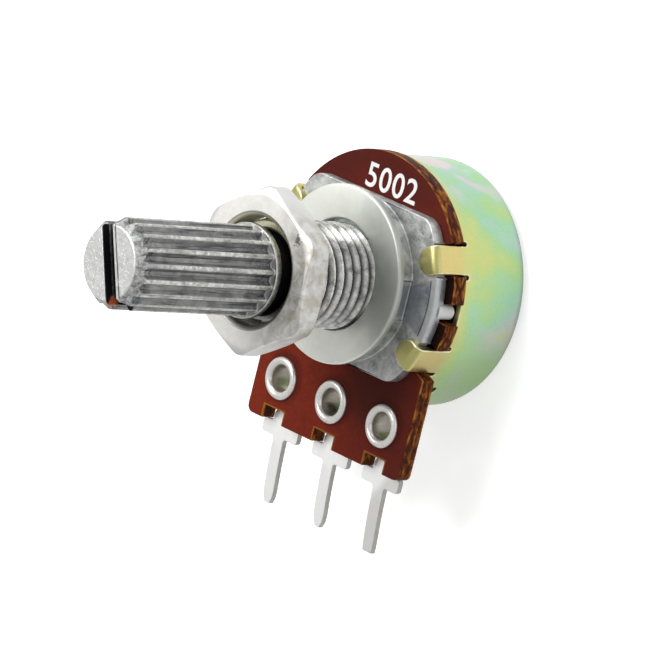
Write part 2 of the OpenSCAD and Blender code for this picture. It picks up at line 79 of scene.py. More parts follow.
@dataclass(frozen=True)
class Stack:
    """Sizes that several pieces share: heights above the cover's back and places in plan."""

    rim: float = 6.0
    board_front: float = 7.15
    plate_front: float = 8.05
    seat: float = 9.2
    bushing_end: float = 16.2
    spline_foot: float = 17.4
    tip: float = 29.5
    turn: float = 24.0
    row: float = -8.6
    pitch: float = 5.0
    rivet: float = 1.09
    tab_angles: tuple[float, ...] = (25.0, 155.0, 205.0, 335.0)
    tab_notch: tuple[Pair, ...] = ((7.55, -1.1), (10.0, -1.1), (10.0, 1.1), (7.55, 1.1))
    peg_notch: tuple[Pair, ...] = ((6.75, -0.7), (10.0, -0.7), (10.0, 0.7), (6.75, 0.7))


STACK = Stack()


def polar(radius: float, angle: float) -> Pair:
    """Point at a radius and an angle in degrees."""
    return radius * math.cos(math.radians(angle)), radius * math.sin(math.radians(angle))


def arc(centre: Pair, radius: float, start: float, end: float, steps: int) -> list[Pair]:
    """Points along an arc.

    Args:
        centre: middle of the arc.
        radius: radius of the arc.
        start: first angle in degrees.
        end: last angle in degrees.
        steps: number of spans between the points.

    Returns:
        The points, both ends included.
    """
    points = []
    for i in range(steps + 1):
        x, y = polar(radius, start + (end - start) * i / steps)
        points.append((centre[0] + x, centre[1] + y))
    return points


def local(angle: float, points: Iterable[Pair]) -> list[Pair]:
    """Turn points from a frame at an angle into plan."""
    c, s = polar(1, angle)
    return [(x * c - y * s, x * s + y * c) for x, y in points]


def box(near: float, far: float, half: float) -> list[Pair]:
    """Corners of a box from near to far along x, as wide as twice the half."""
    return [(near, -half), (far, -half), (far, half), (near, half)]


class Bench:
    """Modelling moves that every piece is made with, in millimetres."""

    @staticmethod
    def clear() -> None:
        """Go to object mode with nothing selected."""
        if bpy.context.object and bpy.context.object.mode != "OBJECT":
            bpy.ops.object.mode_set(mode="OBJECT")
        bpy.ops.object.select_all(action="DESELECT")

    @staticmethod
    def focus(*pieces: Piece) -> None:
        """Select these pieces alone, the first one active."""
        Bench.clear()
        for piece in pieces:
            piece.select_set(True)
        bpy.context.view_layer.objects.active = pieces[0]

    @staticmethod
    def edit(piece: Piece) -> None:
        """Open a piece in edit mode with all of it selected."""
        Bench.focus(piece)
        bpy.ops.object.mode_set(mode="EDIT")
        bpy.ops.mesh.select_all(action="SELECT")

    @staticmethod
    def pick(kind: Part, test: Callable[[Vector, Vector], bool]) -> None:
        """Select elements of the open piece by their place and direction.

        Args:
            kind: vertices, edges or faces.
            test: takes the middle in millimetres and the normal, or an edge's direction.
        """
        bpy.ops.mesh.select_mode(type=kind.value)
        bpy.ops.mesh.select_all(action="DESELECT")
        data = bpy.context.object.data
        mesh = bmesh.from_edit_mesh(data)
        if kind is Part.FACE:
            spots = [(face, face.calc_center_median(), face.normal) for face in mesh.faces]
        elif kind is Part.VERTEX:
            spots = [(vertex, vertex.co, vertex.normal) for vertex in mesh.verts]
        else:
            ends = [(edge, edge.verts[0].co, edge.verts[1].co) for edge in mesh.edges]
            spots = [(edge, (first + last) / 2, (last - first).normalized())
                     for edge, first, last in ends]
        for element, middle, direction in spots:
            if test(middle / MM, direction):
                element.select_set(True)
        mesh.select_flush_mode()
        bmesh.update_edit_mesh(data)

    @staticmethod
    def draw(name: str, points: Sequence[Sequence[float]], close: Close) -> Piece:
        """Draw a line by extruding one vertex from point to point.

        Args:
            name: name of the new piece.
            points: the line's points in space.
            close: what joins the line's two ends.

        Returns:
            The new piece, open in edit mode with all of it selected.
        """
        Bench.clear()
        bpy.ops.mesh.primitive_plane_add(size=MM)
        piece = bpy.context.object
        piece.name = name
        bpy.ops.object.mode_set(mode="EDIT")
        bpy.ops.mesh.select_mode(type="VERT")
        bpy.ops.mesh.select_all(action="SELECT")
        bpy.ops.mesh.merge(type="CENTER")
        line = [Vector(point) for point in points]
        bpy.ops.transform.translate(value=line[0] * MM)
        for here, there in zip(line, line[1:]):
            move = {"value": (there - here) * MM}
            bpy.ops.mesh.extrude_vertices_move(TRANSFORM_OT_translate=move)
        if close is Close.LOOP:
            mesh = bmesh.from_edit_mesh(piece.data)
            for vertex in mesh.verts:
                vertex.select_set(len(vertex.link_edges) < 2)
            mesh.select_flush_mode()
            bmesh.update_edit_mesh(piece.data)
            bpy.ops.mesh.edge_face_add()
        bpy.ops.mesh.select_all(action="SELECT")
        if close is Close.FACE:
            bpy.ops.mesh.edge_face_add()
        return piece

    @staticmethod
    def extrude(x: float, y: float, z: float) -> None:
        """Extrude the selected faces of the open piece."""
        move = {"value": (x * MM, y * MM, z * MM)}
        bpy.ops.mesh.extrude_region_move(TRANSFORM_OT_translate=move)

    @staticmethod
    def outward() -> None:
        """Turn all the faces of the open piece outwards, then leave edit mode."""
        bpy.ops.mesh.select_all(action="SELECT")
        bpy.ops.mesh.remove_doubles(threshold=0.0004 * MM)
        bpy.ops.mesh.normals_make_consistent(inside=False)
        bpy.ops.object.mode_set(mode="OBJECT")

    @staticmethod
    def slab(name: str, outline: Sequence[Pair], low: float, high: float) -> Piece:
        """Extrude a flat outline upwards.

        Args:
            name: name of the new piece.
            outline: corners of the outline in plan.
            low: height of the underside.
            high: height of the top.

        Returns:
            The solid.
        """
        piece = Bench.draw(name, [(x, y, low) for x, y in outline], Close.FACE)
        Bench.extrude(0, 0, high - low)
        Bench.outward()
        return piece

    @staticmethod
    def lathe(name: str, profile: Sequence[Pair], close: Close, steps: int = 128) -> Piece:
        """Spin a profile about the shaft's axis.

        Args:
            name: name of the new piece.
            profile: points as radius and height.
            close: open for a profile that starts and ends on the axis, else a loop.
            steps: number of spans round the axis.

        Returns:
            The turned solid.
        """
        piece = Bench.draw(name, [(r, 0, z) for r, z in profile], close)
        bpy.ops.mesh.spin(steps=steps, angle=math.tau, center=(0, 0, 0), axis=(0, 0, 1))
        Bench.outward()
        return piece

    @staticmethod
    def place(piece: Piece, matrix: Matrix) -> Piece:
        """Move a piece and keep its new place in its mesh."""
        Bench.focus(piece)
        piece.matrix_world = matrix @ piece.matrix_world
        bpy.ops.object.transform_apply(location=True, rotation=True, scale=True)
        return piece

    @staticmethod
    def copy(piece: Piece, name: str, matrix: Matrix) -> Piece:
        """Copy a piece with a mesh of its own and move the copy."""
        Bench.focus(piece)
        bpy.ops.object.duplicate(linked=False)
        twin = bpy.context.object
        twin.name = name
        return Bench.place(twin, matrix)

    @staticmethod
    def join(pieces: Sequence[Piece]) -> Piece:
        """Join pieces into the first one."""
        Bench.focus(*pieces)
        if len(pieces) > 1:
            bpy.ops.object.join()
        return pieces[0]

    @staticmethod
    def discard(piece: Piece) -> None:
        """Delete a piece."""
        Bench.focus(piece)
        bpy.ops.object.delete()

    @staticmethod
    def modify(piece: Piece, kind: str, **settings: object) -> None:
        """Give a piece one modifier with these settings and apply it."""
        Bench.focus(piece)
        bpy.ops.object.modifier_add(type=kind)
        modifier = piece.modifiers[-1]
        for name, value in settings.items():
            setattr(modifier, name, value)
        bpy.ops.object.modifier_apply(modifier=modifier.name)

    @staticmethod
    def combine(piece: Piece, tool: Piece, how: str) -> None:
        """Cut, add or keep the shape of a tool piece, which is used up.

        Args:
            piece: the piece that changes.
            tool: the piece that it is combined with.
            how: DIFFERENCE, UNION or INTERSECT.
        """
        Bench.modify(piece, "BOOLEAN", operation=how, solver="EXACT", object=tool)
        Bench.discard(tool)
        Bench.focus(piece)

    @staticmethod
    def soften(piece: Piece, width: float, angle: float = 40, segments: int = 3,
               material: int = -1, merge: bool = True) -> None:
        """Round the sharp edges of a piece.

        Args:
            piece: the piece to round.
            width: width of the rounding.
            angle: only edges that turn by more than this, in degrees, are rounded.
            segments: number of faces across the rounding.
            material: index of the finish that the rounded faces get, or -1 for their own.
            merge: whether faces in one plane are merged first, which keeps them flat to the eye.
        """
        if merge:
            Bench.edit(piece)
            bpy.ops.mesh.dissolve_limited(angle_limit=math.radians(0.3), delimit={"MATERIAL"})
            Bench.outward()
        Bench.modify(piece, "BEVEL", width=width * MM, segments=segments, limit_method="ANGLE",
                     angle_limit=math.radians(angle), use_clamp_overlap=False,
                     miter_outer="MITER_ARC", material=material)

    @staticmethod
    def coat(piece: Piece, materials: Sequence[bpy.types.Material]) -> None:
        """Add finishes to a piece."""
        for material in materials:
            piece.data.materials.append(material)

    @staticmethod
    def coat_sides(piece: Piece, materials: Sequence[bpy.types.Material], limit: float) -> None:
        """Add two finishes to a piece and give the second one to its sides.

        Args:
            piece: the piece to coat.
            materials: finish of the faces, then finish of the sides.
            limit: faces whose normal rises by less than this are sides.
        """
        Bench.coat(piece, materials)
        Bench.edit(piece)
        Bench.pick(Part.FACE, lambda m, n: abs(n.z) < limit)
        piece.active_material_index = 1
        bpy.ops.object.material_slot_assign()
        Bench.clear()

    @staticmethod
    def finish(piece: Piece, body: Body, nodes: Sequence[str], slot: str,
               materials: Sequence[bpy.types.Material], smooth: float = 32) -> None:
        """Smooth and dress a piece, put it on its body and hide the frame's nodes that it stands
        for.

        Args:
            piece: the finished solid.
            body: body that it rides on.
            nodes: nodes of the frame that it stands for.
            slot: not used.
            materials: finishes in the order of the piece's material indices.
            smooth: edges that turn by less than this, in degrees, are shaded smooth.
        """
        Bench.edit(piece)
        Bench.outward()
        bpy.ops.object.shade_smooth_by_angle(angle=math.radians(smooth))
        Bench.modify(piece, "WEIGHTED_NORMAL", keep_sharp=True)
        places = piece.data.materials
        for index, material in enumerate(materials):
            if index < len(places):
                places[index] = material
            else:
                places.append(material)
        if nodes:
            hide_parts(*nodes)
        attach(piece, body.value)
        log.info("%s: %d faces on %s", piece.name, len(piece.data.polygons), body.value)


class Signal:
    """A number, vector or colour that a graph computes, joined by the plain signs."""

    def __init__(self, graph: "Graph", socket: bpy.types.NodeSocket) -> None:
        """Keep the socket with the graph that it belongs to."""
        self.graph = graph
        self.socket = socket

    def __add__(self, other: Number) -> "Signal":
        """Sum of both."""
        return self.graph.math("ADD", self, other)

    def __sub__(self, other: Number) -> "Signal":
        """This value less the other."""
        return self.graph.math("SUBTRACT", self, other)

    def __rsub__(self, other: float) -> "Signal":
        """A number less this value."""
        return self.graph.math("SUBTRACT", other, self)

    def __mul__(self, other: Number) -> "Signal":
        """Product of both."""
        return self.graph.math("MULTIPLY", self, other)

    def __abs__(self) -> "Signal":
        """This value without its sign."""
        return self.graph.math("ABSOLUTE", self)

    def most(self, other: Number) -> "Signal":
        """The larger of both."""
        return self.graph.math("MAXIMUM", self, other)

    def held(self) -> "Signal":
        """This value, held between 0 and 1."""
        return self.graph.math("ADD", self, 0.0, clamp=True)

    def over(self, low: float, high: float) -> "Signal":
        """Rise smoothly from 0 at low to 1 at high."""
        return self.graph.spread(self, low, high, "SMOOTHSTEP")

    def under(self, low: float, high: float) -> "Signal":
        """Fall smoothly from 1 at low to 0 at high."""
        return 1.0 - self.over(low, high)

    def tint(self, colour: "Signal | Colour", share: Number) -> "Signal":
        """Blend this colour towards another one."""
        return self.graph.mix(share, self, colour)


class Graph:
    """Adds and joins the nodes of one material or group."""

    def __init__(self, tree: bpy.types.NodeTree) -> None:
        """Take the tree to build in."""
        self.tree = tree

    def add(self, kind: str, inputs: dict | None = None, **settings: object) -> bpy.types.Node:
        """Add a node.

        Args:
            kind: Blender's name of the node, without its ShaderNode prefix.
            inputs: values, signals or outputs for its sockets, by name or index.
            settings: the node's own properties.

        Returns:
            The new node.
        """
        prefix = "" if kind.startswith("Node") else "ShaderNode"
        node = self.tree.nodes.new(prefix + kind)
        for name, value in settings.items():
            setattr(node, name, value)
        for key, value in (inputs or {}).items():
            socket = node.inputs[key]
            if isinstance(value, Signal):
                value = value.socket
            if isinstance(value, bpy.types.NodeSocket):
                self.tree.links.new(value, socket)
            elif isinstance(value, tuple) and socket.type == "RGBA":
                socket.default_value = (*value, 1.0)
            else:
                socket.default_value = value
        return node

    def math(self, operation: str, *values: Number, clamp: bool = False) -> Signal:
        """Combine numbers with one operation."""
        node = self.add("Math", dict(enumerate(values)), operation=operation, use_clamp=clamp)
        return Signal(self, node.outputs[0])

    def vector(self, operation: str, first: Signal, second: Triple,
               output: str = "Vector") -> Signal:
        """Combine a vector with a fixed one."""
        node = self.add("VectorMath", {0: first, 1: second}, operation=operation)
        return Signal(self, node.outputs[output])

    def span(self, x: Signal, y: Signal, spot: Pair = (0.0, 0.0)) -> Signal:
        """Distance in plan from a spot."""
        across, along = x - spot[0], y - spot[1]
        return self.math("SQRT", across * across + along * along)

    def mix(self, share: Number, low: "Signal | Colour", high: "Signal | Colour") -> Signal:
        """Blend two colours."""
        node = self.add("Mix", {0: share, 6: low, 7: high}, data_type="RGBA")
        return Signal(self, node.outputs[2])

    def spread(self, value: Signal, low: Number, high: Number, kind: str = "LINEAR") -> Signal:
        """Map a value from a range to 0 and 1."""
        node = self.add("MapRange", {"Value": value, "From Min": low, "From Max": high},
                        interpolation_type=kind)
        return Signal(self, node.outputs[0])

    def noise(self, vector: Signal, scale: Number, detail: float = 3.0, distortion: float = 0.0,
              roughness: float = 0.5) -> Signal:
        """Noise of a scale per millimetre."""
        node = self.add("TexNoise", {"Vector": vector, "Scale": scale, "Detail": detail,
                                     "Distortion": distortion, "Roughness": roughness})
        return Signal(self, node.outputs["Fac"])

    def ramp(self, value: Signal, stops: Sequence[tuple[float, Colour]]) -> Signal:
        """Look a value up in a row of colours."""
        node = self.add("ValToRGB", {"Fac": value})
        elements = node.color_ramp.elements
        while len(elements) < len(stops):
            elements.new(0.5)
        for element, (place, colour) in zip(elements, stops):
            element.position = place
            element.color = (*colour, 1.0)
        return Signal(self, node.outputs["Color"])


class Effects:
    """Node groups that several finishes share, each built once."""

    def __init__(self) -> None:
        """Build the groups."""
        self.place = self._place()
        self.mottle = self._mottle()
        self.scuffs = self._scuffs()

    @staticmethod
    def _open(name: str, inputs: dict[str, float | None]) -> tuple[Graph, dict[str, Signal]]:
        """Start a group with its inputs.

        Args:
            name: name of the group.
            inputs: default of each input, or None for a vector.

        Returns:
            The group's graph and its inputs by name.
        """
        tree = bpy.data.node_groups.new(name, "ShaderNodeTree")
        for label, value in inputs.items():
            kind = "NodeSocketVector" if value is None else "NodeSocketFloat"
            socket = tree.interface.new_socket(name=label, in_out="INPUT", socket_type=kind)
            if value is not None:
                socket.default_value = value
        graph = Graph(tree)
        source = graph.add("NodeGroupInput")
        return graph, {label: Signal(graph, source.outputs[label]) for label in inputs}

    @staticmethod
    def _close(graph: Graph, outputs: dict[str, Signal]) -> bpy.types.NodeTree:
        """Give a group its outputs and return its tree."""
        for label, value in outputs.items():
            kind = "NodeSocketVector" if value.socket.type == "VECTOR" else "NodeSocketFloat"
            graph.tree.interface.new_socket(name=label, in_out="OUTPUT", socket_type=kind)
        graph.add("NodeGroupOutput", outputs)
        return graph.tree

    def _place(self) -> bpy.types.NodeTree:
        """Group that gives the place in millimetres, its radius and its height."""
        g, source = self._open("place", {"Vector": None})
        scaled = g.add("VectorMath", {0: source["Vector"], "Scale": 1 / MM}, operation="SCALE")
        split = g.add("SeparateXYZ", {0: scaled.outputs[0]})
        x, y, z = (Signal(g, socket) for socket in split.outputs)
        return self._close(g, {"Millimetres": Signal(g, scaled.outputs[0]), "X": x, "Y": y,
                               "Radius": g.span(x, y), "Height": z})

    def _mottle(self) -> bpy.types.NodeTree:
        """Group that gives a blotchy mask and a finer one for the relief."""
        g, source = self._open("mottle", {"Vector": None, "Scale": 1.0, "Sharpness": 0.5})
        point, scale = source["Vector"], source["Scale"]
        broad = g.noise(point, scale, 4.0, 0.6, roughness=0.62)
        fine = g.noise(point, scale * 5.5, 5.0, roughness=0.65)
        reach = 0.5 - source["Sharpness"] * 0.42
        return self._close(g, {"Mask": g.spread(broad, 0.5 - reach, reach + 0.5), "Fine": fine})

    def _scuffs(self) -> bpy.types.NodeTree:
        """Group that gives fine long streaks along one axis: scratches in the relief, painted dark
        reflections in the colour.
        """
        g, source = self._open("scuffs", {"Vector": None, "Scale": 6.0, "Amount": 0.5})
        stretched = g.vector("MULTIPLY", source["Vector"], (1.0, 1.0, 0.06))
        lines = g.noise(stretched, source["Scale"], 2.0, roughness=0.7)
        edge = 0.72 - source["Amount"] * 0.3
        return self._close(g, {"Mask": g.spread(lines, edge, edge + 0.1)})


@dataclass(frozen=True)
class Blotches:
    """A blotchy mask and a finer one for the relief."""

    mask: Signal
    fine: Signal


@dataclass(frozen=True)
class Finish:
    """Shared numbers of one finish; each finish paints its own colours."""

    name: str
    effects: Effects
    metallic: float = 1.0
    specular: float = 0.5
    bump: float = 0.3
    bump_depth: float = 0.01


class Coat:
    """A material being painted, with the place of each of its points in millimetres."""

    def __init__(self, finish: Finish) -> None:
        """Start the material of a finish."""
        self.finish = finish
        self.material = bpy.data.materials.new(finish.name)
        self.material.use_nodes = True
        self.graph = Graph(self.material.node_tree)
        self.shader = self.material.node_tree.nodes["Principled BSDF"]
        self.shader.inputs["Metallic"].default_value = finish.metallic
        self.shader.inputs["Specular IOR Level"].default_value = finish.specular
        coordinates = self.graph.add("TexCoord")
        place = self.graph.add("Group", {"Vector": coordinates.outputs["Object"]},
                               node_tree=finish.effects.place)
        names = ("Millimetres", "X", "Y", "Radius", "Height")
        self.point, self.x, self.y, self.radius, self.height = (
            Signal(self.graph, place.outputs[name]) for name in names)

    def mottle(self, scale: float, sharpness: float = 0.5) -> Blotches:
        """Place the shared blotches with their own values."""
        inputs = {"Vector": self.point, "Scale": scale, "Sharpness": sharpness}
        node = self.graph.add("Group", inputs, node_tree=self.finish.effects.mottle)
        mask, fine = (Signal(self.graph, node.outputs[name]) for name in ("Mask", "Fine"))
        return Blotches(mask, fine)

    def scuffs(self, scale: float, amount: float) -> Signal:
        """Place the shared scratches with their own values."""
        inputs = {"Vector": self.point, "Scale": scale, "Amount": amount}
        node = self.graph.add("Group", inputs, node_tree=self.finish.effects.scuffs)
        return Signal(self.graph, node.outputs[0])

    def noise(self, scale: float, detail: float = 3.0, distortion: float = 0.0) -> Signal:
        """Noise at this place."""
        return self.graph.noise(self.point, scale, detail, distortion)

    def stretched(self, factors: Triple) -> Signal:
        """This place, stretched along the three axes."""
        return self.graph.vector("MULTIPLY", self.point, factors)

    def along(self, toward: Triple) -> Signal:
        """How far this place lies in a direction."""
        return self.graph.vector("DOT_PRODUCT", self.point, toward, "Value")

    def away(self, spot: Triple) -> Signal:
        """Distance from a spot."""
        return self.graph.vector("DISTANCE", self.point, spot, "Value")

    def from_eyelet(self) -> tuple[Signal, Signal]:
        """Distances from the nearest eyelet's axis, across the board and along it."""
        nearest = self.graph.math("ROUND", self.x * (1 / STACK.pitch))
        return self.x - nearest * STACK.pitch, self.y - STACK.row

    def feed(self, name: str, value: Signal) -> None:
        """Feed one socket of the shader."""
        self.graph.tree.links.new(value.socket, self.shader.inputs[name])

    def done(self, colour: Signal, roughness: Signal, height: Signal) -> bpy.types.Material:
        """Feed colour, roughness and relief to the shader and return the material."""
        bump = self.graph.add("Bump", {"Height": height, "Strength": self.finish.bump,
                                       "Distance": self.finish.bump_depth * MM})
        self.feed("Base Color", colour)
        self.feed("Roughness", roughness)
        self.feed("Normal", Signal(self.graph, bump.outputs[0]))
        return self.material


@dataclass(frozen=True)
class CastZinc(Finish):
    """Bare die-cast zinc, dull and blotchy, bluish on the lobes, with a painted highlight on the
    lobes' outer rims and a painted shade line just inside them.
    """

    dark: Colour = (0.17, 0.178, 0.192)
    light: Colour = (0.66, 0.67, 0.645)
    # Radius of the painted shade line round the lobes; the painted highlight lies beyond it.
    painted_rim_radius: float = 7.2

    def build(self) -> bpy.types.Material:
        """Make the plate's material."""
        coat = Coat(self)
        blotch, speck = coat.mottle(0.75, 0.75), coat.mottle(2.6, 0.85)
        base = coat.graph.mix(blotch.mask, self.dark, self.light)
        base = base.tint((0.80, 0.81, 0.79), speck.mask * 0.35)
        lobe = self._lobe(coat)
        base = base.tint((0.20, 0.225, 0.27), lobe * 0.55)
        band = lobe * coat.height.over(7.6, 7.7)
        # Painted highlight: the lobes' outer rim above the board is lightened beyond that radius.
        outer = band * coat.radius.over(self.painted_rim_radius + 0.02, self.painted_rim_radius + 0.1)
        base = base.tint((0.62, 0.63, 0.62), outer * 0.45)
        # Painted shade: a dark line round the lobes at that radius.
        line = band * abs(coat.radius - self.painted_rim_radius).under(0.02, 0.09)
        base = base.tint((0.05, 0.055, 0.06), line * 0.75)
        return coat.done(base, blotch.fine * 0.3 + 0.28, blotch.fine + speck.mask)

    @staticmethod
    def _lobe(coat: Coat) -> Signal:
        """Mask of the bluish die face on both lobes, widening outwards between the tabs."""
        x = abs(coat.x)
        return (abs(coat.y) - x * 0.5).under(-1.72, -1.5) * x.over(4.9, 5.2)


@dataclass(frozen=True)
class ThreadZinc(Finish):
    """The bushing's thread: painted highlights on the crests over roots in painted shade, a yellow
    painted light on the upper side of its end, and painted shade in the bore.
    """

    def build(self) -> bpy.types.Material:
        """Make the thread's material."""
        coat = Coat(self)
        blotch = coat.mottle(1.1, 0.7)
        # Painted highlight on the crests; the roots below them are left nearly black as painted
        # shade.
        painted_highlight = (coat.radius.over(3.14, 3.44) * (blotch.mask + 0.22)).held()
        end, upper = coat.height.over(15.75, 15.85), coat.y.over(0.0, 2.0)
        # Painted light on the thread's end, stronger and yellow on its upper side.
        painted_highlight = painted_highlight.most(end * (upper * 0.5 + 0.45))
        base = coat.graph.mix(painted_highlight, (0.04, 0.04, 0.042), (0.80, 0.80, 0.775))
        base = base.tint((0.84, 0.80, 0.52), end * upper * 0.8)
        # Painted shade: the bore darkened nearly to black.
        bore = coat.radius.under(2.7, 2.92)
        base = base.tint((0.02, 0.02, 0.021), bore)
        return coat.done(base, blotch.fine * 0.25 + 0.16 + bore * 0.3, blotch.fine)


@dataclass(frozen=True)
class SplineZinc(Finish):
    """The cast shaft: grey grooves darkened in streaks by painted reflection, painted highlights on
    the crests and along the collar's edge, painted shade in the slot, beside it and at the neck, a
    rusty spot by the slot and a pale tip.
    """

    tip: float = STACK.tip
    foot: float = STACK.spline_foot
    shelf: float = STACK.spline_foot + 0.5

    def build(self) -> bpy.types.Material:
        """Make the shaft's material."""
        coat = Coat(self)
        g, height = coat.graph, coat.height
        blotch, speck, scratches_and_dark_reflections = coat.mottle(0.9, 0.6), coat.mottle(3.2, 0.8), coat.scuffs(5.0, 0.6)
        groove = g.mix(blotch.mask, (0.14, 0.138, 0.152), (0.37, 0.375, 0.35))
        # Painted dark reflections: the grooves darken in long streaks, which also give the
        # scratches' relief.
        groove = groove.tint((0.03, 0.03, 0.036), scratches_and_dark_reflections * 0.6)
        # The grooves' two ends are darkened in blotches.
        dark_blotches = self._ends(height) * blotch.fine.over(0.42, 0.6)
        groove = groove.tint((0.022, 0.027, 0.042), dark_blotches)
        # Painted highlight: a light line along the collar's edge.
        collar_highlight = height.over(self.shelf - 0.16, self.shelf - 0.08)
        collar_highlight = collar_highlight * height.under(self.shelf + 0.04, self.shelf + 0.12)
        groove = groove.tint((0.70, 0.70, 0.68), collar_highlight * 0.85)
        # Painted highlight on the crests, broken up slowly along their length.
        crest = g.mix(speck.mask, (0.28, 0.285, 0.265), (0.68, 0.685, 0.655))
        crest_highlight = coat.radius.over(2.885, 2.965)
        base = groove.tint(crest, crest_highlight * (self._highlight_breaks(coat) * 0.65 + 0.35))
        cone = g.mix(speck.mask, (0.16, 0.16, 0.165), (0.62, 0.63, 0.60))
        base = base.tint(cone, height.over(self.tip - 0.8, self.tip - 0.7))
        face = g.mix(speck.mask, (0.66, 0.665, 0.65), (0.92, 0.92, 0.905))
        face = face.tint((0.60, 0.605, 0.60), blotch.mask * 0.35)
        # Painted shade: a thin broken dark line beside one edge of the slot, where a burr would
        # shade it.
        face = face.tint((0.035, 0.035, 0.04), self._burr_shade_line(coat))
        end = height.over(self.tip - 0.1, self.tip - 0.02)
        # Painted shade: the slot's floor and lower walls, and the neck inside the bushing, darkened
        # nearly to black.
        slot, rust = self._slot(coat), self._rust(coat)
        neck_shade = coat.radius.under(2.5, 2.6) * height.under(self.foot - 0.1, self.foot)
        base = base.tint(face, end).tint((0.02, 0.02, 0.024), slot)
        base = base.tint((0.52, 0.10, 0.02), rust).tint((0.03, 0.03, 0.032), neck_shade)
        coat.feed("Metallic", 1.0 - rust)
        dull = (1.0 - crest_highlight.most(end)) * 0.22
        roughness = speck.fine * 0.3 + 0.22 + dull.most(slot * 0.35)
        return coat.done(base, roughness, blotch.fine + scratches_and_dark_reflections)

    def _ends(self, height: Signal) -> Signal:
        """Mask of the grooves' two ends, which are darkened in blotches."""
        low = height.under(self.foot + 0.4, self.foot + 3.4)
        high = height.over(self.tip - 1.7, self.tip - 1.1)
        return (low * 0.65).most(high * 0.7)

    @staticmethod
    def _highlight_breaks(coat: Coat) -> Signal:
        """Mask that breaks the crests' painted highlight slowly along each crest."""
        return coat.graph.noise(coat.stretched((1.0, 1.0, 0.3)), 0.9).over(0.36, 0.6)

    @staticmethod
    def _across(coat: Coat) -> Signal:
        """Distance across the driver slot."""
        return coat.along((*polar(1, STACK.turn), 0.0))

    def _burr_shade_line(self, coat: Coat) -> Signal:
        """Mask of the thin broken line of painted shade beside one edge of the slot."""
        drift = (coat.noise(0.7) - 0.5) * 0.16
        line = abs(self._across(coat) + drift - 0.78).under(0.035, 0.085)
        return line * coat.noise(1.6).over(0.36, 0.46) * 0.85

    def _slot(self, coat: Coat) -> Signal:
        """Mask of painted shade on the slot's floor and lower walls."""
        height = coat.height
        inside = abs(self._across(coat)).under(0.505, 0.53)
        upper = height.over(self.tip - 0.68, self.tip - 0.6)
        lower = height.under(self.tip - 0.86, self.tip - 0.8)
        strip = (upper + lower).held() * height.under(self.tip - 0.12, self.tip - 0.04)
        return inside * strip * height.over(self.tip - 1.8, self.tip - 1.62)

    @staticmethod
    def _rust(coat: Coat) -> Signal:
        """Mask of the small rusty spot at one end of the slot."""
        return (coat.away((0.66, -2.36, 28.82)) + coat.noise(2.5) * 0.5).under(0.55, 0.78)


@dataclass(frozen=True)
class Plating(Finish):
    """Bright plating with faint warm and grey clouds."""

    light: Colour = (0.90, 0.90, 0.885)
    cloud: Colour = (0.66, 0.67, 0.655)
    tint: Colour = (0.84, 0.80, 0.74)
    roughness: float = 0.2
    scale: float = 0.5
    amount: float = 0.6

    def build(self) -> bpy.types.Material:
        """Make the plated material."""
        coat = Coat(self)
        blotch, speck = coat.mottle(self.scale, 0.4), coat.mottle(self.scale * 4.5, 0.8)
        base = coat.graph.mix(blotch.mask * self.amount, self.light, self.cloud)
        base = base.tint(self.tint, speck.mask * 0.4)
        roughness = speck.fine * 0.25 + self.roughness
        return coat.done(self.aged(coat, base), roughness, speck.fine)

    def aged(self, coat: Coat, base: Signal) -> Signal:
        """Leave the plating as new."""
        return base


@dataclass(frozen=True)
class ShadedPlating(Plating):
    """Plating with painted shade that deepens along given directions, with one small dent."""

    shade_fades: tuple[tuple[Triple, float, float, float], ...] = ()
    shade: Colour = (0.49, 0.505, 0.505)
    ring: float = 0.0
    # Amount of brownish blotches towards +x.
    dark_blotches: float = 0.0
    dent: Triple = (3.2, 3.15, 17.2)

    def aged(self, coat: Coat, base: Signal) -> Signal:
        """Paint shade on the given sides, then add dark blotches, painted light and shade at the
        hole's rim, and the dent.
        """
        drift = coat.mottle(0.45, 0.3).mask - 0.5
        # Painted shade deepens towards the sides turned from the light.
        for toward, start, end, share in self.shade_fades:
            moved = coat.along(toward) + drift * ((end - start) * 0.5)
            base = base.tint(self.shade, moved.over(start, end) * share)
        if self.dark_blotches:
            patch = coat.mottle(1.2, 0.9).mask * coat.x.over(0.5, 4.5)
            base = base.tint((0.40, 0.365, 0.31), patch * self.dark_blotches)
        if self.ring:
            # Painted light on the upper side of the hole's rim, painted shade on its lower side.
            rim_light_and_shade = coat.graph.mix(coat.y.over(0.8, 3.0), (0.34, 0.325, 0.29), (0.90, 0.86, 0.60))
            base = base.tint(rim_light_and_shade, coat.radius.under(self.ring - 0.07, self.ring) * 0.8)
            line = abs(coat.radius - (self.ring + 0.02)).under(0.02, 0.09)
            base = base.tint((0.12, 0.115, 0.10), line * 0.6)
        spot = (coat.away(self.dent) + coat.noise(3.0) * 1.3).under(0.88, 1.06)
        return base.tint((0.10, 0.085, 0.07), spot * 0.85)


@dataclass(frozen=True)
class EyeletTin(Plating):
    """Tin on the eyelets: bright rolled rims, dull flux-stained barrels."""

    stain: Colour = (0.36, 0.32, 0.26)

    def aged(self, coat: Coat, base: Signal) -> Signal:
        """Stain the inside of each barrel."""
        barrel = coat.graph.span(*coat.from_eyelet()).under(0.855, 0.97)
        return base.tint(self.stain, barrel * (coat.mottle(1.6, 0.6).mask * 0.38 + 0.62))


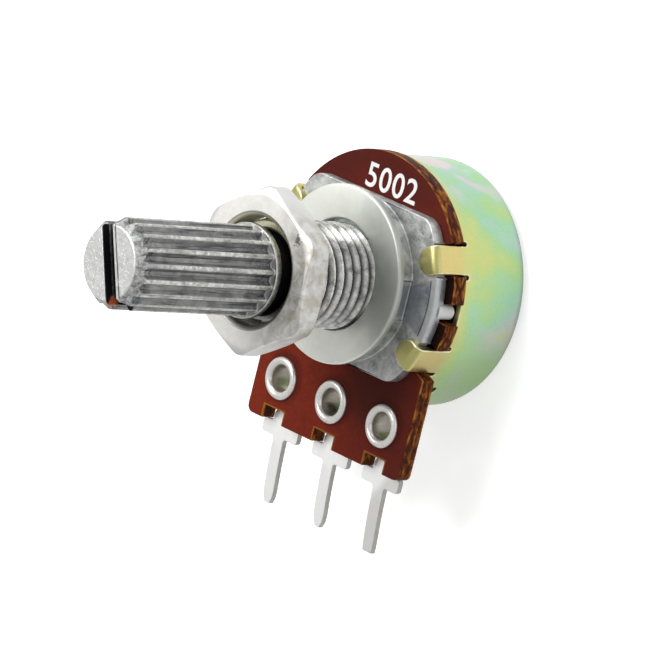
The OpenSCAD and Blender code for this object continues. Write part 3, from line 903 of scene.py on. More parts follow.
@dataclass(frozen=True)
class Chromate(Finish):
    """Yellow chromate with the colours of its thin film, painted shade at its foot, a painted dark
    reflection on the tabs' folded tops, and painted highlights on the rounded edges in its edge
    version.
    """

    # Amount of painted highlight on the rounded edges.
    edge_highlight: float = 0.0

    def build(self) -> bpy.types.Material:
        """Make the cover's material."""
        coat = Coat(self)
        height, side = coat.height, coat.y
        drift, cloud = coat.noise(0.16, 2.0, 0.8), coat.noise(0.36, 2.0, 0.4)
        film = drift * 1.1 + cloud * 0.65 - height * 0.05 - 0.26
        base = coat.graph.ramp(film.held(), [
            (0.00, (0.60, 0.55, 0.19)), (0.16, (0.56, 0.59, 0.20)), (0.30, (0.48, 0.60, 0.22)),
            (0.42, (0.38, 0.60, 0.27)), (0.54, (0.33, 0.60, 0.40)), (0.66, (0.42, 0.56, 0.52)),
            (0.76, (0.56, 0.54, 0.56)), (0.88, (0.52, 0.60, 0.32)), (1.00, (0.38, 0.58, 0.30))])
        base = base.tint((0.44, 0.60, 0.22), side.under(-4.0, 1.0) * 0.55)
        blush = side.over(6.2, 7.8) * cloud.over(0.46, 0.62)
        base = base.tint((0.74, 0.57, 0.58), blush * 0.6)
        # Painted shade: the cover darkens towards its foot on the floor.
        base = base.tint((0.30, 0.29, 0.29), height.under(0.25, 1.0) * 0.6)
        rim = (height + cloud).over(5.3, 6.6) * 0.9
        legs = coat.graph.mix(height.over(5.7, 6.4), (0.58, 0.58, 0.21), (0.66, 0.51, 0.18))
        base = base.tint(legs, rim * 0.8)
        base = base.tint((0.46, 0.36, 0.15), rim * side.under(-3.0, -1.0) * 0.6)
        # Painted dark reflection on the tabs' folded tops.
        tab_top_dark_reflection = height.over(STACK.plate_front - 0.1, STACK.plate_front + 0.1)
        base = base.tint((0.50, 0.47, 0.17), tab_top_dark_reflection * 0.8)
        haze = coat.mottle(1.6, 0.5)
        base = base.tint((0.70, 0.68, 0.62), haze.mask * 0.10)
        grain = (coat.noise(9.0, 2.0) * 0.24 - 0.02).held()
        base = base.tint((0.16, 0.16, 0.12), grain)
        # Painted highlight, mottled, on the rounded edges.
        if self.edge_highlight:
            base = base.tint((0.88, 0.86, 0.66), haze.mask * self.edge_highlight)
        return coat.done(base, haze.fine * 0.2 + 0.26, haze.fine)


@dataclass(frozen=True)
class Laminate(Finish):
    """Red-brown paper laminate, the lacquered face, with painted shade towards +y and +x, and
    painted shadows beside the plate's lobes, below the plate and round the eyelets.
    """

    def build(self) -> bpy.types.Material:
        """Make the board's face."""
        coat = Coat(self)
        x, y = coat.x, coat.y
        cloud, paper, wide = coat.mottle(0.35, 0.3), coat.mottle(2.2, 0.5), coat.noise(0.3, 2.0)
        base = coat.graph.mix(cloud.mask, (0.105, 0.010, 0.006), (0.215, 0.020, 0.008))
        base = base.tint((0.25, 0.045, 0.015), paper.mask * 0.4)
        base = base.tint((0.07, 0.012, 0.008), paper.fine.over(0.50, 0.75))
        # Painted shade: darker towards +y and +x, in broad clouds.
        top_right_shade = y.over(-3.0, 5.0).most(x.over(0.0, 6.5) * 0.75) * (wide + 0.45)
        base = base.tint((0.070, 0.012, 0.009), top_right_shade.held() * 0.88)
        # Painted shadow: nearly black on the face beside the plate's lobes.
        lobe_shadow = abs(y).under(3.1, 3.3) * abs(x).over(6.6, 7.0)
        base = base.tint((0.008, 0.003, 0.002), lobe_shadow * 0.95)
        # Painted shadow on the face below the plate, round a spot right of the middle.
        plate_shadow = (coat.graph.span(x, y, (3.0, -6.6)) - wide).under(0.6, 3.2)
        base = base.tint((0.050, 0.011, 0.008), plate_shadow * 0.7)
        across, along = coat.from_eyelet()
        shadow = coat.graph.span(across, along, (0.2, 0.15)).under(1.45, 2.0)
        base = base.tint((0.05, 0.008, 0.006), shadow * 0.6)
        notch = (abs(across) - 0.95).most(y + 10.7).under(0.07, 0.16)
        base = base.tint((0.36, 0.15, 0.025), notch * 0.7)
        return coat.done(base, paper.fine * 0.2 + 0.38, paper.fine)


@dataclass(frozen=True)
class CutLaminate(Finish):
    """The laminate's raw cut edge, flecked with its fibres."""

    def build(self) -> bpy.types.Material:
        """Make the board's edge."""
        coat = Coat(self)
        rough = coat.mottle(1.3, 0.85)
        fleck = coat.graph.noise(coat.stretched((1.0, 1.0, 2.2)), 1.5, 4.0, 0.6)
        middle = (STACK.rim + STACK.board_front) / 2
        rim = abs(coat.height - middle).over(0.30, 0.52) * 0.13
        base = coat.graph.ramp(fleck + rim, [
            (0.38, (0.022, 0.005, 0.002)), (0.50, (0.075, 0.015, 0.003)),
            (0.60, (0.24, 0.075, 0.010)), (0.72, (0.46, 0.20, 0.03))])
        base = base.tint((0.11, 0.020, 0.005), rough.mask * 0.3)
        return coat.done(base, fleck * 0.3 + 0.4, fleck + rough.fine)


@dataclass(frozen=True)
class Matt(Finish):
    """Two close tones with a little relief, for ink, moulding and springs."""

    first: Colour = (0.05, 0.05, 0.055)
    second: Colour = (0.09, 0.09, 0.095)
    roughness: float = 0.5
    scale: float = 1.5

    def build(self) -> bpy.types.Material:
        """Make the material."""
        coat = Coat(self)
        blotch = coat.mottle(self.scale, 0.5)
        base = coat.graph.mix(blotch.mask, self.first, self.second)
        return coat.done(base, blotch.fine * 0.2 + self.roughness, blotch.fine)


class Palette:
    """Every finish of the object, made once."""

    def __init__(self) -> None:
        """Build the materials."""
        effects = Effects()
        self._castings(effects)
        self._platings(effects)
        self.cover = Chromate("chromate", effects, bump=0.12).build()
        # The edge version carries painted highlights for the cover's rounded edges.
        self.cover_edge = Chromate("chromate_edge", effects, bump=0.12, edge_highlight=1.0).build()
        self.board = Laminate("laminate_face", effects, metallic=0.0, specular=0.06,
                              bump=0.15).build()
        self.board_edge = CutLaminate("laminate_edge", effects, metallic=0.0, specular=0.08,
                                      bump=0.6, bump_depth=0.04).build()
        self._inks(effects)

    def _castings(self, effects: Effects) -> None:
        """Bare zinc of the plate, its thread and the shaft."""
        self.plate = CastZinc("cast_zinc", effects, metallic=0.7, bump=0.4, bump_depth=0.03).build()
        self.thread = ThreadZinc("thread_zinc", effects, metallic=0.85, bump=0.3,
                                 bump_depth=0.015).build()
        self.shaft = SplineZinc("spline_zinc", effects, bump=0.4, bump_depth=0.02).build()

    def _platings(self, effects: Effects) -> None:
        """Plated hardware, terminals and eyelets.

        Args:
            effects: the node groups that all finishes share.
        """
        # Painted shade: the nut darkens on its sides, towards -y and towards +x, the washer towards
        # +x and the right terminal along its pin.
        self.nut = ShadedPlating(
            "nut_plating", effects, light=(0.98, 0.98, 0.96), cloud=(0.68, 0.675, 0.64),
            tint=(0.80, 0.73, 0.65), roughness=0.36, scale=0.7, amount=0.75, bump=0.35,
            bump_depth=0.02, ring=3.8, dark_blotches=0.85, dent=(3.5, 3.1, 17.2),
            shade_fades=(((0.0, 0.0, -1.0), -17.16, -16.85, 0.62), ((0.0, -1.0, 0.0), -1.0, 4.5, 0.25),
                   ((1.0, 0.2, 0.0), 2.2, 5.2, 0.35))).build()
        self.washer = ShadedPlating(
            "washer_plating", effects, light=(0.90, 0.91, 0.87), cloud=(0.68, 0.70, 0.65),
            tint=(0.80, 0.82, 0.69), roughness=0.34, scale=0.6, amount=0.7, bump=0.4,
            bump_depth=0.02, shade_fades=(((0.96, 0.36, 0.0), 1.2, 5.2, 0.85),),
            shade=(0.36, 0.38, 0.355), dent=(-3.1, -4.4, 9.7)).build()
        self.tin = ShadedPlating(
            "tin_plating", effects, metallic=0.85, light=(1.0, 1.0, 0.985),
            cloud=(0.88, 0.885, 0.87), tint=(0.93, 0.915, 0.88), roughness=0.3, scale=0.8,
            amount=0.45, bump=0.25, shade_fades=(((1.0, -0.6, 0.0), 12.4, 13.2, 0.45),),
            shade=(0.48, 0.48, 0.46), dent=(4.9, -17.3, 5.4)).build()
        self.tin_edge = Plating(
            "tin_edge", effects, light=(0.42, 0.42, 0.40), cloud=(0.22, 0.22, 0.21),
            tint=(0.30, 0.27, 0.22), roughness=0.35, scale=2.0, bump=0.3).build()
        self.eyelet = EyeletTin(
            "eyelet_plating", effects, metallic=0.75, light=(0.92, 0.91, 0.89),
            cloud=(0.50, 0.49, 0.46), tint=(0.70, 0.66, 0.58), roughness=0.16, scale=1.3,
            bump=0.25).build()

    def _inks(self, effects: Effects) -> None:
        """Printed, moulded and stamped pieces in two close tones."""
        self.print = Matt("white_ink", effects, metallic=0.0, first=(0.82, 0.81, 0.80),
                          second=(0.90, 0.89, 0.88), roughness=0.4).build()
        self.carbon = Matt("carbon_ink", effects, metallic=0.0, first=(0.012, 0.012, 0.013),
                           second=(0.03, 0.03, 0.032)).build()
        self.silver = Matt("silver_ink", effects, first=(0.60, 0.60, 0.58),
                           second=(0.78, 0.78, 0.76), roughness=0.35, scale=2.5).build()
        self.phenolic = Matt("phenolic", effects, metallic=0.0, first=(0.07, 0.035, 0.02),
                             second=(0.12, 0.06, 0.035), roughness=0.38).build()
        self.bronze = Matt("bronze", effects, first=(0.62, 0.42, 0.18), second=(0.80, 0.58, 0.30),
                           roughness=0.22, scale=2.0).build()
        self.spring = Matt("spring_steel", effects, first=(0.20, 0.20, 0.21),
                           second=(0.38, 0.38, 0.39), roughness=0.3).build()


@dataclass
class Cover:
    """The drawn cup with its four folded tabs."""

    palette: Palette
    radius: float = 8.2
    sheet: float = 0.45
    edge: float = 0.9
    tab_width: float = 1.9
    bend: float = 0.12
    reach: float = 1.7
    relief_width: float = 0.3
    relief_low: float = 5.7
    opening_half: float = 6.0
    opening_low: float = 3.9
    past_top: float = 9.5

    def build(self) -> None:
        """Make the cover."""
        cup = self._cup()
        Bench.combine(cup, self._between_tabs(), "DIFFERENCE")
        Bench.combine(cup, self._reliefs(), "DIFFERENCE")
        Bench.combine(cup, self._opening(), "DIFFERENCE")
        Bench.combine(cup, self._stop("stop", 5.35, 6.9, 11.5, 0.3, 1.6), "UNION")
        Bench.combine(cup, self._stop("stop_recess", 5.65, 6.6, 8.3, -1.0, 1.15), "DIFFERENCE")
        for angle in STACK.tab_angles:
            self._fold(cup, angle)
        Bench.combine(cup, self._tips(), "DIFFERENCE")
        finishes = [self.palette.cover, self.palette.cover_edge]
        Bench.coat(cup, finishes)
        # The rounded edges take the edge version of the chromate, with its painted highlights.
        Bench.soften(cup, 0.07, angle=38, material=1, merge=False)
        Bench.finish(cup, Body.HOUSING, ["rear_cover"], "rear_cover", finishes)

    def _cup(self) -> Piece:
        """Spin the cup, with its wall as high as the tabs' bends."""
        inner = self.radius - self.sheet
        turn = self.radius - self.edge
        top = STACK.plate_front - self.bend
        profile = [(0, 0), (turn / 2, 0)]
        profile += arc((turn, self.edge), self.edge, -90, 0, 10)
        profile += [(self.radius, 3.5), (self.radius, top), (inner, top), (inner, 3.5)]
        profile += arc((turn, self.edge), self.edge - self.sheet, 0, -90, 8)
        profile += [(turn / 2, self.sheet), (0, self.sheet)]
        return Bench.lathe("cover", profile, Close.OPEN, 144)

    def _between_tabs(self) -> Piece:
        """Tool that clears the wall between the tabs, above the rim."""
        half = self.tab_width / 2
        outline: list[Pair] = []
        for index, angle in enumerate(STACK.tab_angles):
            notch = [(10.0, -half), (7.3, -half), (7.3, half), (10.0, half)]
            outline += local(angle, notch)
            following = STACK.tab_angles[(index + 1) % 4] + (360 if index == 3 else 0)
            gap = math.degrees(math.asin(half / 10)) + 1
            outline += arc((0, 0), 10.05, angle + gap, following - gap, 8)
        return Bench.slab("between_tabs", outline, STACK.rim, self.past_top)

    def _reliefs(self) -> Piece:
        """Tool that cuts the round-ended slot on both sides of each tab."""
        half = self.relief_width / 2
        side = self.tab_width / 2 + half - 0.005
        profile = [(y, z) for y, z in arc((side, self.relief_low), half, -180, 0, 10)]
        profile += [(side + half, self.past_top), (side - half, self.past_top)]
        slot = Bench.draw("relief", [(7.2, y, z) for y, z in profile], Close.FACE)
        Bench.extrude(2, 0, 0)
        Bench.outward()
        slots = []
        for angle in STACK.tab_angles:
            turn = Matrix.Rotation(math.radians(angle), 4, "Z")
            slots.append(Bench.copy(slot, "relief_a", turn))
            slots.append(Bench.copy(slot, "relief_b", turn @ Matrix.Scale(-1, 4, (0, 1, 0))))
        Bench.discard(slot)
        tool = Bench.join(slots)
        Bench.edit(tool)
        Bench.outward()
        return tool

    def _opening(self) -> Piece:
        """Tool that opens the wall on the terminals' side."""
        half, low, r = self.opening_half, self.opening_low, 0.35
        profile = arc((half - r, low + r), r, 0, -90, 5)
        profile += arc((-half + r, low + r), r, -90, -180, 5)
        profile += [(-half, self.past_top), (half, self.past_top)]
        tool = Bench.draw("opening", [(x, -12, z) for x, z in profile], Close.FACE)
        Bench.extrude(0, 8, 0)
        Bench.outward()
        return tool

    def _stop(self, name: str, inner: float, outer: float, half: float, low: float,
              high: float) -> Piece:
        """Sector of a ring on the terminals' side, for the pressed-in stop.

        Args:
            name: name of the new piece.
            inner: inner radius.
            outer: outer radius.
            half: half of its angle in degrees.
            low: height of its underside.
            high: height of its top.

        Returns:
            The sector.
        """
        outline = arc((0, 0), outer, -90 - half, -90 + half, 8)
        outline += arc((0, 0), inner, -90 + half, -90 - half, 8)
        return Bench.slab(name, outline, low, high)

    def _fold(self, cup: Piece, angle: float) -> None:
        """Bend one tab inwards over the plate by spinning its end face."""
        top = STACK.plate_front - self.bend
        centre = self.radius - self.sheet - self.bend
        c, s = polar(1, angle)
        Bench.edit(cup)
        Bench.pick(Part.FACE, lambda m, n: abs(m.z - top) < 0.01 and n.z > 0.9
                   and math.hypot(m.x - c * m.xy.length, m.y - s * m.xy.length) < 1.0)
        bpy.ops.mesh.spin(steps=7, angle=math.pi / 2, axis=(-s, c, 0),
                          center=(c * centre * MM, s * centre * MM, top * MM))
        run = centre - (self.radius - self.reach)
        for share in (0.12, 0.88):
            Bench.extrude(-c * run * share, -s * run * share, 0)
        Bench.outward()

    def _tips(self) -> Piece:
        """Tool that rounds the tips of the four tabs."""
        tip, r = self.radius - self.reach, 0.965
        shape = [(tip + r, 2.0), (5.4, 2.0), (5.4, -2.0), (tip + r, -2.0)]
        shape += arc((tip + r, 0), r, -90, -270, 18)
        return Bench.join([Bench.slab("tip", local(angle, shape), 7.7, 9.0)
                           for angle in STACK.tab_angles])


@dataclass
class Board:
    """The laminate board with its cut edges and its printed number."""

    palette: Palette
    radius: float = 8.4
    half_width: float = 7.5
    low: float = 11.6
    corner: float = 0.5
    shaft_hole: float = 2.9
    groove_half: float = 0.95
    groove_end: float = -10.7
    number: str = "5002"

    def build(self) -> None:
        """Make the board and its print."""
        board = Bench.slab("board", self._outline(), STACK.rim, STACK.board_front)
        Bench.combine(board, self._holes(), "DIFFERENCE")
        finishes = [self.palette.board, self.palette.board_edge]
        Bench.coat_sides(board, finishes, 0.5)
        Bench.soften(board, 0.06, angle=50, segments=2)
        Bench.finish(board, Body.HOUSING, ["element_board"], "element_board", finishes)
        self._print()

    def _outline(self) -> list[Pair]:
        """Round end and tongue in plan."""
        start = -math.degrees(math.acos(self.half_width / self.radius))
        x, y, r = self.half_width, -self.low, self.corner
        outline = arc((0, 0), self.radius, start, 180 - start, 120)
        outline += arc((-x + r, y + r), r, 180, 270, 5)
        outline += arc((x - r, y + r), r, 270, 360, 5)
        return outline

    def _holes(self) -> Piece:
        """Tool with every hole and notch of the board."""
        low, high = STACK.rim - 0.5, STACK.board_front + 0.5
        outlines = [arc((0, 0), self.shaft_hole, 0, 352.5, 47)]
        for x in (-STACK.pitch, 0.0, STACK.pitch):
            left, right = x - self.groove_half, x + self.groove_half
            outlines.append(arc((x, STACK.row), STACK.rivet, 0, 345, 23))
            outlines.append([(left, -13.0), (right, -13.0), (right, self.groove_end),
                             (left, self.groove_end)])
        outlines += [local(angle, STACK.tab_notch) for angle in STACK.tab_angles]
        outlines += [local(angle, STACK.peg_notch) for angle in (0, 180)]
        return Bench.join([Bench.slab("hole", outline, low, high) for outline in outlines])

    def _print(self) -> None:
        """Print the plain number on the board's face."""
        Bench.clear()
        bpy.ops.object.text_add()
        text = bpy.context.object
        text.name = "printed_number"
        text.data.body = self.number
        text.data.size = 2.25 * MM
        text.data.offset = 0.025 * MM
        text.data.extrude = 0.006 * MM
        text.data.space_character = 1.08
        text.data.align_x = "CENTER"
        text.data.resolution_u = 6
        text.location = (0.55 * MM, 5.78 * MM, (STACK.board_front + 0.006) * MM)
        text.scale = (1.04, 1.02, 1.0)
        bpy.ops.object.convert(target="MESH")
        bpy.ops.object.transform_apply(location=True, rotation=True, scale=True)
        Bench.finish(text, Body.HOUSING, [], "element_board", [self.palette.print])


@dataclass
class BushingPlate:
    """The cast plate with its boss, its threaded bushing and two pegs."""

    palette: Palette
    radius: float = 7.75
    half_width: float = 5.55
    corner: float = 1.4
    boss: float = 5.5
    flat_depth: float = 0.22
    bore: float = 2.5
    crest: float = 3.5
    root: float = 3.08
    pitch: float = 0.75

    def build(self) -> None:
        """Make the casting."""
        plate = Bench.slab("bushing_plate", self._outline(), STACK.board_front, STACK.plate_front)
        Bench.combine(plate, self._notches(), "DIFFERENCE")
        Bench.combine(plate, self._boss(), "UNION")
        pocket = [(0, 6.5), (4.1, 6.5), (4.1, 8.1), (2.62, 8.1), (2.62, 9.6), (0, 9.6)]
        Bench.combine(plate, Bench.lathe("pocket", pocket, Close.OPEN, 96), "DIFFERENCE")
        Bench.soften(plate, 0.11, angle=38)
        thread = self._thread()
        Bench.coat(plate, [self.palette.plate])
        Bench.coat(thread, [self.palette.thread])
        whole = Bench.join([plate, thread, self._peg(-1), self._peg(1)])
        Bench.finish(whole, Body.HOUSING, ["bushing_plate"], "bushing_plate",
                     [self.palette.plate, self.palette.thread], smooth=38)

    def _outline(self) -> list[Pair]:
        """Two round lobes and two straight edges with round corners."""
        reach = self.radius - self.corner
        y = self.half_width - self.corner
        x = math.sqrt(reach * reach - y * y)
        turn = math.degrees(math.atan2(y, x))
        outline = arc((0, 0), self.radius, -turn, turn, 40)
        outline += arc((x, y), self.corner, turn, 90, 8)[1:]
        outline += arc((-x, y), self.corner, 90, 180 - turn, 8)
        outline += arc((0, 0), self.radius, 180 - turn, 180 + turn, 40)[1:]
        outline += arc((-x, -y), self.corner, 180 + turn, 270, 8)[1:]
        outline += arc((x, -y), self.corner, 270, 360 - turn, 8)[:-1]
        return outline

    def _notches(self) -> Piece:
        """Tool for the notches that the tabs pass through."""
        return Bench.join([Bench.slab("notch", local(angle, STACK.tab_notch), 6.5, 8.6)
                           for angle in STACK.tab_angles])

    def _boss(self) -> Piece:
        """Round boss with a flat cut on each side."""
        boss = Bench.slab("boss", arc((0, 0), self.boss, 0, 357, 119), 7.6, STACK.seat)
        for side in (-1, 1):
            flat = box(side * (self.boss - self.flat_depth), side * 6.5, 1.3)
            tool = Bench.slab("flat", flat, STACK.plate_front, STACK.seat + 1)
            Bench.combine(boss, tool, "DIFFERENCE")
        return boss

    def _thread(self) -> Piece:
        """Helical thread: one pitch of the flank drawn, screwed upwards and cut to length."""
        low, high = STACK.seat - 0.3, STACK.bushing_end
        start = low - 2 * self.pitch
        p = self.pitch
        flank = [(self.root, 0), (self.root + 0.03, p * 0.07), (self.crest - 0.04, p * 0.36),
                 (self.crest, p * 0.42), (self.crest, p * 0.58), (self.crest - 0.04, p * 0.64),
                 (self.root + 0.03, p * 0.93), (self.root, p)]
        thread = Bench.draw("thread", [(r, 0, start + z) for r, z in flank], Close.OPEN)
        Bench.modify(thread, "SCREW", angle=math.tau, screw_offset=p * MM, steps=72,
                     render_steps=72, iterations=math.ceil((high - low) / p) + 3,
                     use_merge_vertices=False)
        Bench.edit(thread)
        bpy.ops.mesh.remove_doubles(threshold=0.001 * MM)
        for height, up in ((low, -1), (high, 1)):
            bpy.ops.mesh.select_all(action="SELECT")
            bpy.ops.mesh.bisect(plane_co=(0, 0, height * MM), plane_no=(0, 0, up),
                                use_fill=True, clear_outer=True, threshold=0.0005 * MM)
        Bench.outward()
        chamfer = [(3.26, high + 0.2), (3.26, high), (3.62, high - 0.36), (4.2, high - 0.36),
                   (4.2, high + 0.2)]
        Bench.combine(thread, Bench.lathe("end_chamfer", chamfer, Close.LOOP, 96), "DIFFERENCE")
        bore = [(0, low - 1), (self.bore, low - 1), (self.bore, high - 0.4),
                (self.bore + 0.5, high + 0.1), (0, high + 0.1)]
        Bench.combine(thread, Bench.lathe("bore", bore, Close.OPEN, 96), "DIFFERENCE")
        return thread

    def _peg(self, side: int) -> Piece:
        """Locating peg with a rounded end, behind one lobe."""
        end = STACK.board_front - 1.0
        profile = [(0, end), (0.3, end)] + arc((0.32, end + 0.18), 0.18, -90, 0, 4)
        profile += [(0.5, 7.5), (0, 7.5)]
        peg = Bench.lathe("peg", profile, Close.OPEN, 32)
        return Bench.place(peg, Matrix.Translation((side * 7.45 * MM, 0, 0)))


@dataclass
class Hardware:
    """The nut and the washer on the bushing."""

    palette: Palette
    nut_flats: float = 10.0
    nut_low: float = 15.2
    nut_high: float = 17.2
    nut_turn: float = 3.0
    bevel: float = 0.14
    washer: float = 5.9
    washer_hole: float = 3.65
    washer_height: float = 0.5
    washer_shift: float = 0.12

    def build(self) -> None:
        """Make both pieces."""
        self._nut()
        self._washer()

    def _nut(self) -> None:
        """Six sides kept inside a turned envelope with both faces bevelled."""
        corner = self.nut_flats / 2 / math.cos(math.radians(30))
        six = [polar(corner, self.nut_turn + 30 + 60 * i) for i in range(6)]
        nut = Bench.slab("hex_nut", six, self.nut_low, self.nut_high)
        Bench.edit(nut)
        Bench.pick(Part.EDGE, lambda m, d: abs(d.z) > 0.9)
        bpy.ops.mesh.bevel(offset=0.62 * MM, segments=8, affect="EDGES")
        Bench.outward()
        low, high, face = self.nut_low, self.nut_high, self.nut_flats / 2 - self.bevel
        out, drop = 6.2, (6.2 - face) * math.tan(math.radians(25))
        envelope = [(3.55, low + 0.22), (3.78, low), (face, low), (out, low + drop),
                    (out, high - drop), (face, high), (3.8, high), (3.55, high - 0.22)]
        tool = Bench.lathe("nut_envelope", envelope, Close.LOOP, 180)
        Bench.combine(nut, tool, "INTERSECT")
        Bench.soften(nut, 0.09, angle=32)
        Bench.finish(nut, Body.NUT, ["hex_nut"], "hex_nut", [self.palette.nut], smooth=40)

    def _washer(self) -> None:
        """Stamped ring: rolled over on its upper edge, square below."""
        low, high, out = STACK.seat, STACK.seat + self.washer_height, self.washer
        hole = self.washer_hole
        profile = [(hole, low + 0.05), (hole + 0.05, low), (out - 0.05, low), (out, low + 0.05)]
        profile += arc((out - 0.16, high - 0.16), 0.16, 0, 90, 5)
        profile += arc((hole + 0.1, high - 0.1), 0.1, 90, 180, 4)
        washer = Bench.lathe("flat_washer", profile, Close.LOOP, 128)
        Bench.place(washer, Matrix.Translation((0, self.washer_shift * MM, 0)))
        Bench.finish(washer, Body.HOUSING, ["flat_washer"], "flat_washer",
                     [self.palette.washer], smooth=40)


@dataclass
class Shaft:
    """The cast shaft with its splines, slot, collar and seat for the rotor."""

    palette: Palette
    radius: float = 2.98
    collar: float = 3.10
    floor: float = 2.62
    count: int = 18
    shift: float = 10.0
    chamfer: float = 0.58
    chamfer_length: float = 0.75
    seat_half: float = 1.75
    slot_half: float = 0.5
    slot_depth: float = 1.6

    def build(self) -> None:
        """Make the shaft."""
        shaft = Bench.lathe("shaft", self._core(), Close.OPEN, 120)
        for side in (-1, 1):
            flat = box(side * self.seat_half, side * 3.0, 3)
            Bench.combine(shaft, Bench.slab("seat_flat", flat, 1.76, 5.14), "DIFFERENCE")
        splines = Bench.slab("splines", self._section(), STACK.spline_foot + 0.3, STACK.tip + 0.5)
        top, past = STACK.tip, 0.1
        slope_foot = top - self.chamfer_length * (1 + past / self.chamfer)
        envelope = [(0, 17), (self.radius + past, 17), (self.radius + past, slope_foot),
                    (self.radius - self.chamfer, top), (0, top)]
        tool = Bench.lathe("spline_envelope", envelope, Close.OPEN, 120)
        Bench.combine(splines, tool, "INTERSECT")
        Bench.combine(shaft, splines, "UNION")
        half, low = self.slot_half, top - self.slot_depth
        slot = [(-half, -4), (half, -4), (half, 4), (-half, 4)]
        Bench.combine(shaft, Bench.slab("slot", slot, low, top + 1), "DIFFERENCE")
        Bench.place(shaft, Matrix.Rotation(math.radians(STACK.turn), 4, "Z"))
        Bench.soften(shaft, 0.045, angle=42, segments=2)
        Bench.finish(shaft, Body.SPINDLE, ["shaft"], "shaft", [self.palette.shaft], smooth=34)

    def _core(self) -> list[Pair]:
        """Profile of the round parts: stake, seat, journal with its groove, and collar."""
        foot = STACK.spline_foot
        return [(0, 1.35), (2.4, 1.35), (2.6, 1.75), (2.2, 1.75), (2.2, 5.15), (2.45, 5.15),
                (2.45, 7.37), (1.95, 7.37), (1.95, 7.88), (2.45, 7.88), (2.45, foot - 0.05),
                (2.6, foot), (self.collar - 0.06, foot), (self.collar, foot + 0.06),
                (self.collar, foot + 0.5), (0, foot + 0.5)]

    def _section(self) -> list[Pair]:
        """Outline of the splined end, groove by groove."""
        pitch = 360 / self.count
        crest, floor = self.radius - 0.004, self.floor
        side = [(7.7, crest - 0.015), (6.6, crest - 0.09), (3.6, floor + 0.02), (2.4, floor)]
        groove = [(-pitch / 2, crest)] + [(-turn, radius) for turn, radius in side] + side[::-1]
        return [polar(radius, self.shift + (index + 0.5) * pitch + turn)
                for index in range(self.count) for turn, radius in groove]


@dataclass
class Terminals:
    """Three stamped solder terminals with their rolled eyelets."""

    palette: Palette
    back: float = 5.5
    sheet: float = 0.45
    forward: float = 0.2
    names: tuple[str, ...] = ("left", "middle", "right")
    leans: tuple[float, ...] = (5.6, 6.6, 6.2)
    tips: tuple[float, ...] = (0.25, 0.18, 0.42)

    def build(self) -> None:
        """Make the terminals and the eyelets."""
        eyelet = Bench.lathe("eyelet", self._roll(), Close.LOOP, 64)
        for index, side in enumerate((-1, 0, 1)):
            spot = Matrix.Translation((side * STACK.pitch * MM, STACK.row * MM, 0))
            name = self.names[index]
            terminal = self._terminal(self.leans[index], self.tips[index])
            terminal.name = f"terminal_{name}_dressed"
            Bench.place(terminal, spot)
            Bench.finish(terminal, Body.HOUSING, [f"terminal_{name}"], f"terminal_{name}",
                         [self.palette.tin, self.palette.tin_edge])
            ring = Bench.copy(eyelet, f"eyelet_{name}_dressed",
                              spot @ Matrix.Rotation(index * 1.3, 4, "Z"))
            Bench.finish(ring, Body.HOUSING, [f"eyelet_{name}"], f"eyelet_{name}",
                         [self.palette.eyelet], smooth=50)
        Bench.discard(eyelet)

    def _roll(self) -> list[Pair]:
        """Profile of the rolled eyelet."""
        front = STACK.board_front
        return [(0.85, 5.4), (0.85, front - 0.12), (0.88, front + 0.04), (0.96, front + 0.17),
                (1.08, front + 0.255), (1.2, front + 0.275), (1.32, front + 0.24),
                (1.415, front + 0.15), (1.45, front + 0.06), (1.42, front), (1.07, front),
                (1.07, 5.5), (1.4, 5.5), (1.45, 5.42), (1.41, 5.31), (1.28, 5.24),
                (1.08, 5.22), (0.92, 5.27)]

    def _front(self, tip: float) -> list[Pair]:
        """Front outline: ring, strip, shoulder with round corners and pin."""
        ring_end = (0.85, -1.296)
        half = [ring_end] + arc((0.97, -2.98), 0.12, 180, 270, 5) + [(1.5, -3.1)]
        half += arc((1.5, -3.35), 0.25, 90, 0, 4)[1:]
        half += arc((1.5, -3.85), 0.25, 0, -90, 4)
        half += [(0.66, -4.1), (0.56, -4.14), (0.51, -4.24), (0.5, -4.6), (0.485, -7.7)]
        half += [(0.36 + tip / 4, -8.2), (tip, -8.62)]
        start = math.degrees(math.atan2(ring_end[1], ring_end[0]))
        ring = arc((0, 0), 1.55, 180 - start, start, 40)[1:-1]
        left = [(-x, y) for x, y in reversed(half)]
        return left + ring + half

    def _terminal(self, lean: float, tip: float) -> Piece:
        """Cut, step and lean one terminal about its eyelet.

        Args:
            lean: angle in degrees by which the pin leans back.
            tip: half width of the pin's tip.

        Returns:
            The terminal with its eyelet's centre on the axis.
        """
        piece = Bench.slab("terminal", self._front(tip), self.back, self.back + self.sheet)
        hole = Bench.slab("rivet_hole", arc((0, 0), STACK.rivet, 0, 345, 23), 5, 6.5)
        Bench.combine(piece, hole, "DIFFERENCE")
        Bench.edit(piece)
        for height in (-2.2, -2.6, -4.15, -5.3, -6.5):
            bpy.ops.mesh.select_all(action="SELECT")
            bpy.ops.mesh.bisect(plane_co=(0, height * MM, 0), plane_no=(0, 1, 0))
        Bench.pick(Part.VERTEX, lambda m, n: m.y < -2.5)
        bpy.ops.transform.translate(value=(0, 0, self.forward * MM))
        drop = math.tan(math.radians(lean))
        for height, share in ((-4.2, 0.5), (-5.4, 0.25), (-6.6, 0.25)):
            Bench.pick(Part.VERTEX, lambda m, n: m.y < height + 0.01)
            for vertex in bmesh.from_edit_mesh(piece.data).verts:
                if vertex.select:
                    vertex.co.z += drop * share * (vertex.co.y - height * MM)
            bmesh.update_edit_mesh(piece.data)
        Bench.outward()
        Bench.soften(piece, 0.07)
        Bench.coat_sides(piece, [self.palette.tin, self.palette.tin_edge], 0.45)
        return piece


